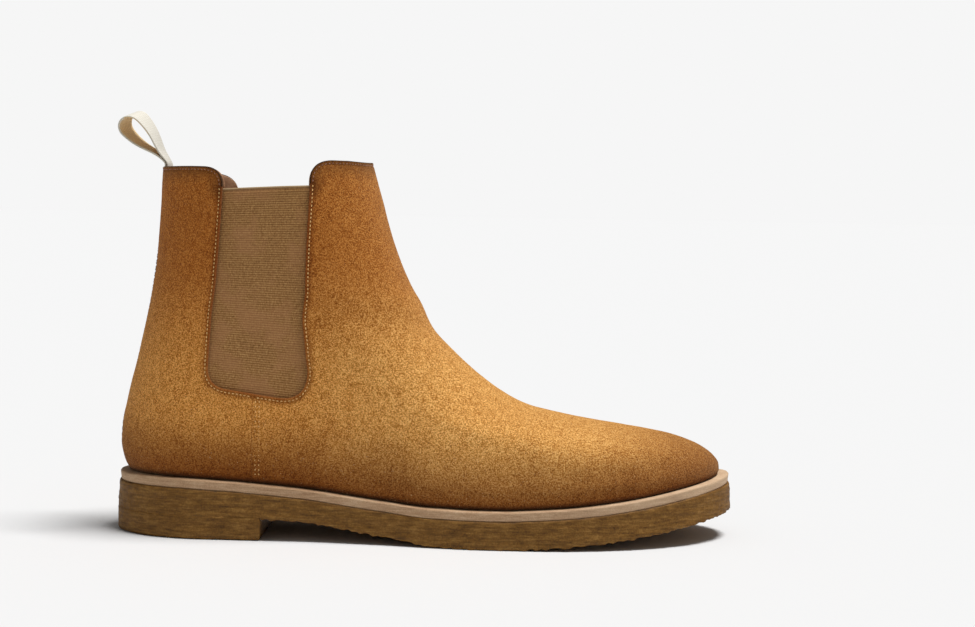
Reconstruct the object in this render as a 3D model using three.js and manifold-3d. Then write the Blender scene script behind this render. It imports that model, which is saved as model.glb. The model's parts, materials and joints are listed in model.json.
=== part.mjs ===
// Chelsea boot for the right foot: suede upper on a stitched leather midsole and a crepe sole, with
// an elastic gore in each side and a webbing pull loop at the back of the collar.
// Frame: +X to the toe, +Z up, outer side of the foot at -Y, origin on the ground under the middle
// of the outsole. Millimetres. "Height" h is measured up from the top of the midsole, "depth" is
// measured inwards from the outside face of the suede.
import * as THREE from "three";
import { mergeVertices } from "three/addons/utils/BufferGeometryUtils.js";
import Module from "manifold-3d";

const wasm = await Module();
wasm.setup();

// ---------------------------------------------------------------- driving dimensions
const BOOT_LENGTH = 307.2; // outsole, heel to toe
const BALL_WIDTH = 109.2; // outsole, across the ball of the foot
const COLLAR_HEIGHT = 184; // ground to the top of the front tab
const SHAFT_WIDTH = 69; // outside of the suede, across the collar

const HEEL_LIFT = 11.4; // separate crepe layer under the heel
const CREPE_THICKNESS = 13.4; // crepe slab under the ball
const TOE_SPRING = 13.4; // rise of the slab's underside at the toe
const MIDSOLE_THICKNESS = 4.4;
const WELT = 4.8; // midsole edge standing out past the upper
const SOLE_FLARE = 1.1; // foot of the crepe standing out past the midsole
const HEEL_BREAST = -78; // front face of the heel lift, along X

const SUEDE = 1.6;
const MIDDLE = 1.4; // gores, toe puff, heel counter, tapes and loop tails, between suede and lining
const LINING = 1.1;
const GAP = 0.3; // clearance between neighbouring pieces
const LASTING_MARGIN = 13; // upper turned in under the insole board
const INSOLE_BOARD = 2.5;
const SOCK_LINER = 1;

const GORE_WIDTH = 45.5; // window in the suede, halfway up
const GORE_TAPER = 7; // how much wider the window is at its foot than at its mouth
const GORE_FOOT = 43.7; // middle of the window's foot above the midsole
const GORE_DROP = 12; // front corner of the elastic below the front tab
const GORE_TOP_SLOPE = 3; // rear corner of the elastic below its front corner
const GORE_UNDERLAP = 8; // elastic hidden under the suede round the window
const GORE_SET_BACK = 79.5; // middle of the window behind the middle of the outsole
const SEAM_SET_BACK = 3; // side seam behind the middle of the window
const REAR_TAB_DROP = 4; // outer rear tab below the front tab
const INNER_TAB_DROP = 4; // inner rear tab below the outer one
const TAB_ROUND = 11; // corner of each tab beside the gore

const PUFF_LENGTH = 60; // toe puff, back from the toe
const COUNTER_LENGTH = 84; // heel counter, forward from the heel
const COUNTER_RISE = 24; // heel counter higher at the back seam than at its wings
const SEAM_TAPE_WIDTH = 12;
const TOPLINE_TAPE_WIDTH = 7;
const SHANK_LENGTH = 104;
const SHANK_WIDTH = 14;
const SHANK_THICKNESS = 1.2;
const SHANK_SET_IN = 35.7; // its rear end, forward from the back of the footprint

const WEBBING_WIDTH = 16; // pull loop, along Y
const WEBBING = 1.15; // thickness of the pull loop's webbing
const LOOP_LENGTH = 31; // hinge line to the far end of the loop
const LOOP_RADIUS = 6; // outside of the loop's round end
const LOOP_NECK = 4; // stretch above the hinge line where both ends lie together
const LOOP_LEAN = 43; // degrees, backwards from upright
const LOOP_TAIL = 30; // webbing sewn in between suede and lining
const HINGE_RISE = 2.2; // hinge line above the rear collar

// ---------------------------------------------------------------- smooth curves through points
// Monotone cubic through [t, value] pairs, level beyond both ends.
function curve(points, tScale = 1, valueScale = 1) {
  const t = points.map((p) => p[0] * tScale);
  const v = points.map((p) => p[1] * valueScale);
  const last = t.length - 1;
  const run = t.slice(1).map((end, i) => end - t[i]);
  const slope = run.map((length, i) => (v[i + 1] - v[i]) / length);
  const tangent = v.map((_, i) => {
    if (i === 0 || i === last) return slope[Math.min(i, last - 1)];
    if (slope[i - 1] * slope[i] <= 0) return 0;
    const before = 2 * run[i] + run[i - 1];
    const after = run[i] + 2 * run[i - 1];
    return (before + after) / (before / slope[i - 1] + after / slope[i]);
  });
  return (at) => {
    if (at <= t[0]) return v[0];
    if (at >= t[last]) return v[last];
    const i = t.findIndex((end) => end > at) - 1;
    const s = (at - t[i]) / run[i];
    return (
      (1 + 2 * s) * (1 - s) ** 2 * v[i] +
      s * (1 - s) ** 2 * run[i] * tangent[i] +
      s * s * (3 - 2 * s) * v[i + 1] +
      s * s * (s - 1) * run[i] * tangent[i + 1]
    );
  };
}

// ---------------------------------------------------------------- the shape of the last
// The outlines are drawn for one size of last and stretched to the dimensions above.
const DRAWN_HALF_LENGTH = 147.7;
const DRAWN_HALF_WIDTH = 48.7;
const DRAWN_FRONT_RISE = 154.8;
const DRAWN_SHAFT_HALF_WIDTH = 34.5;
const STRETCH_X = (BOOT_LENGTH / 2 - WELT - SOLE_FLARE) / DRAWN_HALF_LENGTH;
const STRETCH_Y = (BALL_WIDTH / 2 - WELT - SOLE_FLARE) / DRAWN_HALF_WIDTH;

// Underside of the crepe slab, then the slab's thickness, both along X. The slab is made a little
// low over the heel lift, and cut back to a flat seat for it.
const heelRise = curve([[-90, 0.94], [-60, 0.83], [-20, 0.35], [6, 0.05], [18, 0]], STRETCH_X, HEEL_LIFT);
const toeRise = curve([[42, 0], [70, 0.13], [100, 0.37], [130, 0.72], [152, 1]], STRETCH_X, TOE_SPRING);
const crepeThickness = curve(
  [[-152, 1.03], [-120, 1.01], [-85, 0.9], [-50, 0.82], [-20, 0.89], [10, 1]],
  STRETCH_X,
  CREPE_THICKNESS,
);
const treadZ = (x) => heelRise(x) + toeRise(x);
const crepeTopZ = (x) => treadZ(x) + crepeThickness(x);
const seatZ = (x) => crepeTopZ(x) + GAP + MIDSOLE_THICKNESS;
const above = (rise) => (x) => seatZ(x) + rise;
const HEEL_SEAT = seatZ(-BOOT_LENGTH / 2);
const STRETCH_Z = (COLLAR_HEIGHT - HEEL_SEAT) / DRAWN_FRONT_RISE;

// Footprint: half widths to each side of a centre line, all along X.
const outerHalf = curve(
  [[-150, 30], [-120, 31.5], [-90, 32.5], [-55, 34], [-20, 38.5], [10, 45], [35, 48.2], [60, 48.7]],
  STRETCH_X,
  STRETCH_Y,
);
const innerHalf = curve(
  [[-150, 30], [-120, 31.5], [-90, 31], [-55, 29], [-20, 31], [15, 39], [45, 46.6], [65, 49.2]],
  STRETCH_X,
  STRETCH_Y,
);
const centreY = curve([[-150, 2], [-60, 1], [0, 0], [60, 0], [110, 3], [150, 8]], STRETCH_X, STRETCH_Y);

// Side silhouette: where each level ends at the front and at the back, both over h.
const frontX = curve(
  [
    [0, 147.7], [5, 147.4], [10, 144.4], [16, 137.4], [22.5, 125.3], [28, 111.2], [33.5, 93.3],
    [39, 72.6], [45, 53], [52, 39], [60, 27.5], [71, 14.7], [83, 3], [95, -3.2], [104, -8.5],
    [123, -16.8], [146, -24], [158, -27.5], [175, -31.5],
  ],
  STRETCH_Z,
  STRETCH_X,
);
const backX = curve(
  [
    [0, -147.7], [6, -150.7], [14, -152.3], [22, -151.9], [35, -149.2], [60, -143.4], [90, -137.4],
    [115, -134.3], [140, -132.8], [165, -132.2],
  ],
  STRETCH_Z,
  STRETCH_X,
);

// Length of the rounded ends of each level, its half width in the shaft, the share of shaft in its
// shape, and how far the wall bulges past the footprint, all over h.
const frontRound = curve(
  [[0, 96], [12, 90], [22, 74], [40, 62], [70, 56], [120, 48], [175, 46]],
  STRETCH_Z,
  STRETCH_X,
);
const backRound = curve([[0, 44], [30, 46], [90, 52]], STRETCH_Z, STRETCH_X);
const shaftHalf = curve(
  [[0, 35], [70, 33.5], [100, 33], [140, 33.5], [155, 34.5]],
  STRETCH_Z,
  SHAFT_WIDTH / 2 / DRAWN_SHAFT_HALF_WIDTH,
);
const shaftShare = curve([[8, 0], [30, 0.28], [60, 0.8], [85, 1]], STRETCH_Z);
const bulge = curve([[0, 0], [10, 2.2], [25, 2.6], [60, 0.6], [90, 0]], STRETCH_Z);
const SHAFT_CENTRE_Y = 1;

// Fullness of a rounded end, from 0 at its tip to 1 where the full width is reached.
function roundedEnd(share) {
  const r = THREE.MathUtils.clamp(share, 0, 1);
  return Math.sqrt(1 - (1 - r) ** 2.2);
}

// Outside face of the suede. Turn 0 is the toe end of the level, a quarter turn the inner side of
// the foot, half a turn the heel end.
function wallPoint(turn, h) {
  const front = frontX(h);
  const back = backX(h);
  const x = back + ((front - back) * (1 + Math.cos(turn))) / 2;
  const inner = Math.sin(turn) >= 0;
  const shaft = shaftShare(h);
  const half = (inner ? innerHalf : outerHalf)(x) * (1 - shaft) + shaftHalf(h) * shaft + bulge(h);
  const middle = centreY(x) * (1 - shaft) + SHAFT_CENTRE_Y * shaft;
  const ends = roundedEnd((front - x) / frontRound(h)) * roundedEnd((x - back) / backRound(h));
  return new THREE.Vector3(x, middle + (inner ? 1 : -1) * half * ends, seatZ(x) + h);
}

function wallNormal(turn, h) {
  const step = 0.02;
  const low = Math.max(0, h - 10 * step);
  const along = wallPoint(turn + step, h).sub(wallPoint(turn - step, h));
  const up = wallPoint(turn, h + 10 * step).sub(wallPoint(turn, low));
  return along.cross(up).normalize();
}

function pointAtDepth(turn, h, depth) {
  return wallPoint(turn, h).addScaledVector(wallNormal(turn, h), -depth);
}

// Where the surface at this depth passes "rise" above the midsole.
function pointAtRise(turn, rise, depth) {
  let low = 0;
  let high = 4 * rise;
  for (let i = 0; i < 24; i++) {
    const h = (low + high) / 2;
    const point = pointAtDepth(turn, h, depth);
    if (point.z - seatZ(point.x) < rise) low = h;
    else high = h;
  }
  return pointAtDepth(turn, high, depth);
}

// Footprint of the upper moved out by "grow" in plan, at any height.
function footPoint(turn, grow, zAt) {
  const step = 0.02;
  const along = wallPoint(turn + step, 0).sub(wallPoint(turn - step, 0));
  const out = new THREE.Vector3(along.y, -along.x, 0).normalize().negate();
  const point = wallPoint(turn, 0).addScaledVector(out, -grow);
  return point.setZ(zAt(point.x));
}

// ---------------------------------------------------------------- solids from rings of points
const RING_POINTS = 48;
const WALL_LEVELS = [170, 140, 104, 84, 70, 58, 49, 43, 38, 33, 28, 23, 18, 13, 8];

function ring(pointAt) {
  return Array.from({ length: RING_POINTS }, (_, i) => pointAt((i / RING_POINTS) * 2 * Math.PI));
}

function geometryFrom(points, triangles) {
  const geometry = new THREE.BufferGeometry().setFromPoints(points);
  return geometry.setIndex(triangles);
}

// Closed band through rings, the last ring joined back to the first.
function bandThrough(rings) {
  const count = rings[0].length;
  const triangles = [];
  rings.forEach((_, j) => {
    const next = (j + 1) % rings.length;
    for (let i = 0; i < count; i++) {
      const k = (i + 1) % count;
      triangles.push(j * count + i, next * count + i, j * count + k);
      triangles.push(j * count + k, next * count + i, next * count + k);
    }
  });
  return geometryFrom(rings.flat(), triangles);
}

// Slab between a lower and an upper ring, each closed by strips across the boot.
function slabBetween(lower, upper) {
  const count = lower.length;
  const points = [...lower, ...upper];
  const triangles = [];
  for (let i = 0; i < count; i++) {
    const k = (i + 1) % count;
    triangles.push(i, k, count + i, k, count + k, count + i);
  }
  for (let i = 0; i < count / 2; i++) {
    const a = (count - i) % count;
    const b = count - i - 1;
    const corners = [i, i + 1, b, a];
    for (const [p, q, r] of [[0, 1, 2], [0, 2, 3]]) {
      if (new Set([corners[p], corners[q], corners[r]]).size < 3) continue;
      triangles.push(corners[p], corners[r], corners[q]);
      triangles.push(count + corners[p], count + corners[q], count + corners[r]);
    }
  }
  return geometryFrom(points, triangles);
}

// ---------------------------------------------------------------- joining and cutting
function solidOf(geometry) {
  const bare = new THREE.BufferGeometry();
  bare.setAttribute("position", geometry.getAttribute("position"));
  if (geometry.index) bare.setIndex(geometry.index);
  const merged = mergeVertices(bare, 1e-4);
  return new wasm.Manifold(
    new wasm.Mesh({
      numProp: 3,
      vertProperties: merged.attributes.position.array,
      triVerts: new Uint32Array(merged.index.array),
    }),
  );
}

function geometryOf(solid) {
  const mesh = solid.getMesh();
  const geometry = new THREE.BufferGeometry();
  geometry.setAttribute("position", new THREE.BufferAttribute(mesh.vertProperties, 3));
  geometry.setIndex(new THREE.BufferAttribute(mesh.triVerts, 1));
  geometry.computeVertexNormals();
  return geometry;
}

// Outline in X and Z from [x, z] or [x, z, corner radius] points.
function outline(points) {
  const shape = new THREE.Shape();
  points.forEach(([x, z, radius = 0], i) => {
    const corner = new THREE.Vector2(x, z);
    const before = new THREE.Vector2(...points.at(i - 1).slice(0, 2));
    const after = new THREE.Vector2(...points[(i + 1) % points.length].slice(0, 2));
    const from = corner.clone().addScaledVector(before.sub(corner).normalize(), radius);
    const to = corner.clone().addScaledVector(after.sub(corner).normalize(), radius);
    if (i === 0) shape.moveTo(from.x, from.y);
    else shape.lineTo(from.x, from.y);
    if (radius > 0) shape.quadraticCurveTo(x, z, to.x, to.y);
  });
  return shape;
}

// Prism of an X-Z outline between two places along Y.
function prism(shape, fromY, toY, curveSegments = 4) {
  const geometry = new THREE.ExtrudeGeometry(shape, {
    depth: toY - fromY,
    bevelEnabled: false,
    curveSegments,
  });
  geometry.rotateX(Math.PI / 2);
  geometry.translate(0, toY, 0);
  return geometry;
}

const FAR = 2 * BOOT_LENGTH;
const OUTER = [-FAR, SHAFT_CENTRE_Y]; // the -Y half
const INNER = [SHAFT_CENTRE_Y, FAR]; // the +Y half
const ACROSS = [-FAR, FAR];

function cutter(points, [fromY, toY]) {
  return solidOf(prism(outline(points), fromY, toY));
}

function block(fromX, toX, fromZ, toZ, span = ACROSS) {
  return cutter([[fromX, fromZ], [toX, fromZ], [toX, toZ], [fromX, toZ]], span);
}

// ---------------------------------------------------------------- layers of the upper
const MIDDLE_DEPTH = SUEDE + GAP;
const LINING_DEPTH = MIDDLE_DEPTH + MIDDLE + GAP;
const WALL_DEPTH = LINING_DEPTH + LINING;

// Rings of the surface at a depth: down the wall, round its corner, and in along the margin, which
// lies flat at GAP + depth over the midsole.
function surfaceRings(depth) {
  const rise = GAP + depth;
  return [
    ...WALL_LEVELS.map((h) => ring((turn) => pointAtDepth(turn, h * STRETCH_Z, depth))),
    ring((turn) => pointAtRise(turn, rise, depth)),
    ring((turn) => footPoint(turn, -LASTING_MARGIN, above(rise))),
  ];
}

function layer(outerDepth, thickness) {
  const rings = [...surfaceRings(outerDepth), ...surfaceRings(outerDepth + thickness).reverse()];
  return solidOf(bandThrough(rings));
}

// ---------------------------------------------------------------- outlines of the panels
const REAR_COLLAR = COLLAR_HEIGHT - REAR_TAB_DROP;
const GORE_TOP = COLLAR_HEIGHT - GORE_DROP;
const GORE_X = -GORE_SET_BACK * STRETCH_X;
const GORE_BOTTOM = seatZ(GORE_X) + GORE_FOOT;
const SIDE_SEAM_X = GORE_X - SEAM_SET_BACK;

// Edges of the gore window grown by "grow": x of its rear edge at a height, x of its upright front
// edge, and its foot, which slopes down towards the toe.
const GORE_FOOT_SLOPE = 3.5; // each corner of the foot off its middle height
const WINDOW_ROUNDS = [10, 15]; // rear and front corner of the window's foot
const GORE_ROUNDS = [12, 17]; // the same corners of the elastic
const halfGore = (z) => {
  const share = (z - GORE_BOTTOM) / (GORE_TOP - GORE_BOTTOM);
  return GORE_WIDTH / 2 + GORE_TAPER * (0.5 - share);
};
const goreRearX = (z, grow) => GORE_X - halfGore(z) - grow;
const goreFrontX = (grow) => GORE_X + GORE_WIDTH / 2 + grow;
function goreFoot(grow, [rearRound, frontRound]) {
  const rearZ = GORE_BOTTOM + GORE_FOOT_SLOPE - grow;
  const frontZ = GORE_BOTTOM - GORE_FOOT_SLOPE - grow;
  return [
    [goreRearX(rearZ, grow), rearZ, rearRound],
    [goreFrontX(grow), frontZ, frontRound],
  ];
}

// Everything above the collar line on one side of the boot: the rear tab, which may slope down
// towards its front corner, the gore window, and the front tab, with the tabs' corners rounded.
function overCollar(drop, tabSlope, span) {
  const frontTop = COLLAR_HEIGHT - drop;
  const rearTop = REAR_COLLAR - drop;
  const tabTop = rearTop - tabSlope;
  return cutter(
    [
      [-FAR, FAR],
      [-FAR, rearTop],
      [backX(rearTop - HEEL_SEAT) + WALL_DEPTH, rearTop],
      [goreRearX(tabTop, 0), tabTop, TAB_ROUND],
      ...goreFoot(0, WINDOW_ROUNDS),
      [goreFrontX(0), frontTop, TAB_ROUND],
      [FAR, frontTop],
      [FAR, FAR],
    ],
    span,
  );
}

function collarCut(drop) {
  return overCollar(drop, 0, OUTER).add(overCollar(drop, INNER_TAB_DROP, INNER));
}

const ahead = block(SIDE_SEAM_X + GAP / 2, FAR, -FAR, FAR);
const behind = block(-FAR, SIDE_SEAM_X - GAP / 2, -FAR, FAR);
const BACK_SEAM_Y = 1.4;

// ---------------------------------------------------------------- suede
const suede = layer(0, SUEDE).subtract(collarCut(0));
const rearSuede = suede.intersect(behind);
const frontPanel = suede.intersect(ahead);
const outerQuarter = rearSuede.intersect(block(-FAR, FAR, -FAR, FAR, [-FAR, BACK_SEAM_Y - GAP / 2]));
const innerQuarter = rearSuede.intersect(block(-FAR, FAR, -FAR, FAR, [BACK_SEAM_Y + GAP / 2, FAR]));

// ---------------------------------------------------------------- lining
const LINING_DROP = 0.8; // lining edge below the suede edge at the collar
const lining = layer(LINING_DEPTH, LINING).subtract(collarCut(LINING_DROP));
const frontLining = lining.intersect(ahead);
const rearLining = lining.intersect(behind);

// ---------------------------------------------------------------- between suede and lining
const middle = layer(MIDDLE_DEPTH, MIDDLE);

function gore(span) {
  const rearTop = GORE_TOP - GORE_TOP_SLOPE;
  return middle.intersect(
    cutter(
      [
        [goreRearX(rearTop, GORE_UNDERLAP), rearTop],
        ...goreFoot(GORE_UNDERLAP, GORE_ROUNDS),
        [goreFrontX(GORE_UNDERLAP), GORE_TOP],
      ],
      span,
    ),
  );
}

const toePuff = middle.intersect(block(frontX(0) - PUFF_LENGTH, FAR, -FAR, FAR));

const COUNTER_CLEARANCE = 6; // between the counter's wings and the foot of the gores
const COUNTER_WING = GORE_BOTTOM - GORE_FOOT_SLOPE - GORE_UNDERLAP - COUNTER_CLEARANCE;
const COUNTER_TOP = COUNTER_WING + COUNTER_RISE;
const counterFrontX = backX(0) + COUNTER_LENGTH;
const goreCornerX = goreRearX(GORE_BOTTOM, GORE_UNDERLAP);
const heelCounter = middle.intersect(
  cutter(
    [
      [-FAR, -FAR],
      [counterFrontX, -FAR],
      [counterFrontX, COUNTER_WING, 14],
      [goreCornerX + 12, COUNTER_WING, 10],
      [goreCornerX - 12, COUNTER_TOP, 10],
      [-FAR, COUNTER_TOP],
    ],
    ACROSS,
  ),
);

const tapeSpan = (width) => [SHAFT_CENTRE_Y - width / 2, SHAFT_CENTRE_Y + width / 2];
const TAIL_TOP = REAR_COLLAR + GAP;
const TAIL_BOTTOM = TAIL_TOP - LOOP_TAIL;
const loopTails = middle.intersect(block(-FAR, GORE_X, TAIL_BOTTOM, TAIL_TOP, tapeSpan(WEBBING_WIDTH)));
const backSeamTape = middle.intersect(
  block(-FAR, GORE_X, COUNTER_TOP + 2, TAIL_BOTTOM - 2, tapeSpan(SEAM_TAPE_WIDTH)),
);

// Tape along the top of each tab, clear of the gore beside it and of the loop's tails.
const TAPE_CLEARANCE = 1;
function toplineTape(fromX, toX, top, span) {
  return middle.intersect(block(fromX, toX, top - TOPLINE_TAPE_WIDTH, top, span));
}
const tapeFrontX = goreFrontX(GORE_UNDERLAP + TAPE_CLEARANCE);
const tapeRearX = goreRearX(GORE_TOP, GORE_UNDERLAP + TAPE_CLEARANCE);
const besideTails = WEBBING_WIDTH / 2 + TAPE_CLEARANCE;
const frontTape = toplineTape(tapeFrontX, FAR, COLLAR_HEIGHT - 1, ACROSS);
const outerTape = toplineTape(-FAR, tapeRearX, REAR_COLLAR - 1, [-FAR, SHAFT_CENTRE_Y - besideTails]);
const innerTape = toplineTape(-FAR, tapeRearX, REAR_COLLAR - INNER_TAB_DROP - 1, [
  SHAFT_CENTRE_Y + besideTails,
  FAR,
]);

// ---------------------------------------------------------------- bottom
function footSlab(lowerGrow, lowerZ, upperGrow, upperZ) {
  return solidOf(
    slabBetween(
      ring((turn) => footPoint(turn, lowerGrow, lowerZ)),
      ring((turn) => footPoint(turn, upperGrow, upperZ)),
    ),
  );
}
const heelBreastX = HEEL_BREAST * STRETCH_X;
const outsole = footSlab(WELT + SOLE_FLARE, treadZ, WELT + 0.3, crepeTopZ).subtract(
  block(-FAR, heelBreastX, -1, HEEL_LIFT),
);
const midsole = footSlab(WELT - 0.4, (x) => crepeTopZ(x) + GAP, WELT, seatZ);
const heelLift = footSlab(WELT + SOLE_FLARE, () => 0, WELT + SOLE_FLARE, () => HEEL_LIFT - GAP).intersect(
  block(-FAR, heelBreastX, -1, HEEL_LIFT),
);

// Insole board and sock liner lie over the turned-in margins, and fill the lining from wall to wall.
const BOARD_LOW = GAP + WALL_DEPTH + GAP;
const SOCK_LOW = BOARD_LOW + INSOLE_BOARD + GAP;
const EDGE_CLEARANCE = 0.8;
function innerSole(lowRise, thickness) {
  const edgeAt = (rise) => ring((turn) => pointAtRise(turn, rise, WALL_DEPTH + EDGE_CLEARANCE));
  return solidOf(slabBetween(edgeAt(lowRise), edgeAt(lowRise + thickness)));
}
const insoleBoard = innerSole(BOARD_LOW, INSOLE_BOARD);
const sockLiner = innerSole(SOCK_LOW, SOCK_LINER);

// Shank strip, bent to the seat, and the filler that fills the hollow round it between the margins.
const FILLER_TOP = GAP + WALL_DEPTH;
function strip(fromX, toX, width, lowHeight, highHeight) {
  const steps = 12;
  const edge = (zAt) => {
    const side = (sign) => (_, i) => {
      const x = fromX + ((toX - fromX) * i) / steps;
      return new THREE.Vector3(x, SHAFT_CENTRE_Y + (sign * width) / 2, zAt(x));
    };
    const outerEdge = Array.from({ length: steps + 1 }, side(-1));
    const innerEdge = Array.from({ length: steps + 1 }, side(1));
    return [...innerEdge.reverse(), ...outerEdge];
  };
  return solidOf(stripBetween(edge(above(lowHeight)), edge(above(highHeight))));
}

// Slab between two rings that run back along one long edge and forward along the other.
function stripBetween(lower, upper) {
  const count = lower.length;
  const triangles = [];
  for (let i = 0; i < count; i++) {
    const k = (i + 1) % count;
    triangles.push(i, k, count + i, k, count + k, count + i);
  }
  for (let i = 0; i < count / 2 - 1; i++) {
    const a = count - 1 - i;
    for (const [p, q, r] of [[i, i + 1, a - 1], [i, a - 1, a]]) {
      triangles.push(p, r, q);
      triangles.push(count + p, count + q, count + r);
    }
  }
  return geometryFrom([...lower, ...upper], triangles);
}

const shankRearX = backX(0) + SHANK_SET_IN;
const shankFrontX = shankRearX + SHANK_LENGTH;
const shank = strip(shankRearX, shankFrontX, SHANK_WIDTH, FILLER_TOP - SHANK_THICKNESS, FILLER_TOP);
const shankPocket = strip(
  shankRearX - GAP,
  shankFrontX + GAP,
  SHANK_WIDTH + 2 * GAP,
  FILLER_TOP - SHANK_THICKNESS - GAP,
  FILLER_TOP + 1,
);
const FILLER_EDGE = -(LASTING_MARGIN + 2 * GAP);
const bottomFiller = footSlab(FILLER_EDGE, above(GAP), FILLER_EDGE, above(FILLER_TOP)).subtract(
  shankPocket,
);

// ---------------------------------------------------------------- pull loop
// Drawn upright from its hinge line: both ends lie together in the neck, then open into a teardrop.
function loopGeometry() {
  const roundZ = LOOP_LENGTH - LOOP_RADIUS;
  const shape = new THREE.Shape();
  shape.absarc(0, 0, WEBBING, Math.PI, 2 * Math.PI, false);
  shape.lineTo(WEBBING, LOOP_NECK);
  shape.bezierCurveTo(WEBBING + 0.5, LOOP_NECK + 8, LOOP_RADIUS, roundZ - 10, LOOP_RADIUS, roundZ);
  shape.absarc(0, roundZ, LOOP_RADIUS, 0, Math.PI, false);
  shape.bezierCurveTo(-LOOP_RADIUS, roundZ - 10, -WEBBING - 0.5, LOOP_NECK + 8, -WEBBING, LOOP_NECK);
  const inside = LOOP_RADIUS - WEBBING;
  const hole = new THREE.Path();
  hole.moveTo(0, LOOP_NECK + 1.5);
  hole.bezierCurveTo(0.6, LOOP_NECK + 8, inside, roundZ - 10, inside, roundZ);
  hole.absarc(0, roundZ, inside, 0, Math.PI, false);
  hole.bezierCurveTo(-inside, roundZ - 10, -0.6, LOOP_NECK + 8, 0, LOOP_NECK + 1.5);
  shape.holes.push(hole);
  return prism(shape, -WEBBING_WIDTH / 2, WEBBING_WIDTH / 2, 8);
}

const hingeX = backX(REAR_COLLAR - HEEL_SEAT) + MIDDLE_DEPTH + MIDDLE / 2;

// ---------------------------------------------------------------- materials and assembly
const finish = (color, roughness, metalness = 0) =>
  new THREE.MeshStandardMaterial({ color, roughness, metalness });
const SUEDE_TAN = 0xb9793a;
const CREPE_AMBER = 0x8a6a3c;
const LINING_TAN = 0xc08155;

function piece(name, source, material) {
  const mesh = new THREE.Mesh(source.isBufferGeometry ? source : geometryOf(source), material);
  mesh.name = name;
  return mesh;
}

const sole = new THREE.Group().add(
  piece("heel_lift", heelLift, finish(CREPE_AMBER, 0.8)),
  piece("outsole", outsole, finish(CREPE_AMBER, 0.8)),
  piece("midsole", midsole, finish(0xc99a72, 0.55)),
  piece("bottom_filler", bottomFiller, finish(0x9a7650, 0.95)),
  piece("shank", shank, finish(0x8d9196, 0.35, 1)),
  piece("insole_board", insoleBoard, finish(0xa98a63, 0.9)),
  piece("sock_liner", sockLiner, finish(LINING_TAN, 0.55)),
);

const upper = new THREE.Group().add(
  piece("front_panel", frontPanel, finish(SUEDE_TAN, 0.95)),
  piece("outer_rear_quarter", outerQuarter, finish(SUEDE_TAN, 0.95)),
  piece("inner_rear_quarter", innerQuarter, finish(SUEDE_TAN, 0.95)),
  piece("outer_gore", gore(OUTER), finish(0x7a6446, 0.9)),
  piece("inner_gore", gore(INNER), finish(0x7a6446, 0.9)),
  piece("toe_puff", toePuff, finish(0xd9d2c2, 0.8)),
  piece("heel_counter", heelCounter, finish(0xb89b78, 0.85)),
  piece("back_seam_tape", backSeamTape, finish(0xe8e2d4, 0.9)),
  piece("front_topline_tape", frontTape, finish(0xe8e2d4, 0.9)),
  piece("outer_rear_topline_tape", outerTape, finish(0xe8e2d4, 0.9)),
  piece("inner_rear_topline_tape", innerTape, finish(0xe8e2d4, 0.9)),
  piece("front_lining", frontLining, finish(LINING_TAN, 0.6)),
  piece("rear_lining", rearLining, finish(LINING_TAN, 0.6)),
  piece("pull_loop_tails", loopTails, finish(0xe6ddcb, 0.9)),
);

const pullLoop = piece("pull_loop", loopGeometry(), finish(0xe6ddcb, 0.9));
pullLoop.position.set(hingeX, SHAFT_CENTRE_Y, REAR_COLLAR + HINGE_RISE);
pullLoop.rotation.y = -THREE.MathUtils.degToRad(LOOP_LEAN);

export default new THREE.Group().add(sole, upper, pullLoop);
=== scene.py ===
"""Chelsea boot in tan split suede: the detailed pieces, their materials, and a plain studio.

Lengths are worked out in millimetres and put into Blender in metres. The boot's toe points to +X,
its outer side to -Y, and it stands on z = 0.
"""
import json
import math

import bmesh
import bpy
import numpy as np
from mathutils import Matrix, Vector, kdtree, noise
from mathutils.geometry import delaunay_2d_cdt


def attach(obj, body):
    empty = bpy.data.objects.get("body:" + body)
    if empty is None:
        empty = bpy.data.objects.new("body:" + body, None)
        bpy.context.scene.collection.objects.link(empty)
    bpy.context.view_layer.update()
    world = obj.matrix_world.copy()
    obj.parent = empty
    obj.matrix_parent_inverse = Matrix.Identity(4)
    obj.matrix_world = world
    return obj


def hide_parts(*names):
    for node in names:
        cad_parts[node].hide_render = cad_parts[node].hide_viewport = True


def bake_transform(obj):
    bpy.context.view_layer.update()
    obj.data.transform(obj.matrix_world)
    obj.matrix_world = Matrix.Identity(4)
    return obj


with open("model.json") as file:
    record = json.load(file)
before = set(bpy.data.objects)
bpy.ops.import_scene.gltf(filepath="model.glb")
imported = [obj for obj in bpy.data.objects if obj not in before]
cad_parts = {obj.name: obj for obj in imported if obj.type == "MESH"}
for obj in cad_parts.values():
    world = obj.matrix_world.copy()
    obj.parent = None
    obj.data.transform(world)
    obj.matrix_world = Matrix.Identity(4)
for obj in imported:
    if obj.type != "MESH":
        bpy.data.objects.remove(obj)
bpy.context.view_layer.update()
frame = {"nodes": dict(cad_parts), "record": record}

MM = 0.001

# ---- dimensions, in mm
HEEL_LIFT = 11.4
CREPE = 13.4
TOE_SPRING = 13.4  # rise of the tread towards the tip of the toe
MIDSOLE = 4.4
GAP = 0.3  # between neighbouring layers
WELT = 4.8  # how far the sole stands out past the upper
FLARE = 1.1  # how much further the crepe's tread edge stands out
SUEDE = 1.6
MIDDLE_DEPTH = 1.9  # outside of the gores below the outside of the suede
MIDDLE = 1.4  # thickness of the gores
LINING_DEPTH = 3.6
LINING = 1.1
LINING_DROP = 0.8  # top of the lining below the top of the suede
COLLAR_FRONT = 184  # tops of the front and the rear tab
COLLAR_REAR = 180
INNER_TAB_DROP = 4  # slope of the inner rear tab down to its corner
TAB_ROUND = 11
BACK_SEAM_X = -130.0  # roughly, at the collar: heights there are taken over the seat at this x
GORE_X = -79.5
GORE_HALF = 22.75
GORE_TAPER = 7
GORE_BOTTOM = 70.6
GORE_TOP = 172
GORE_TOP_SLOPE = 3
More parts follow.
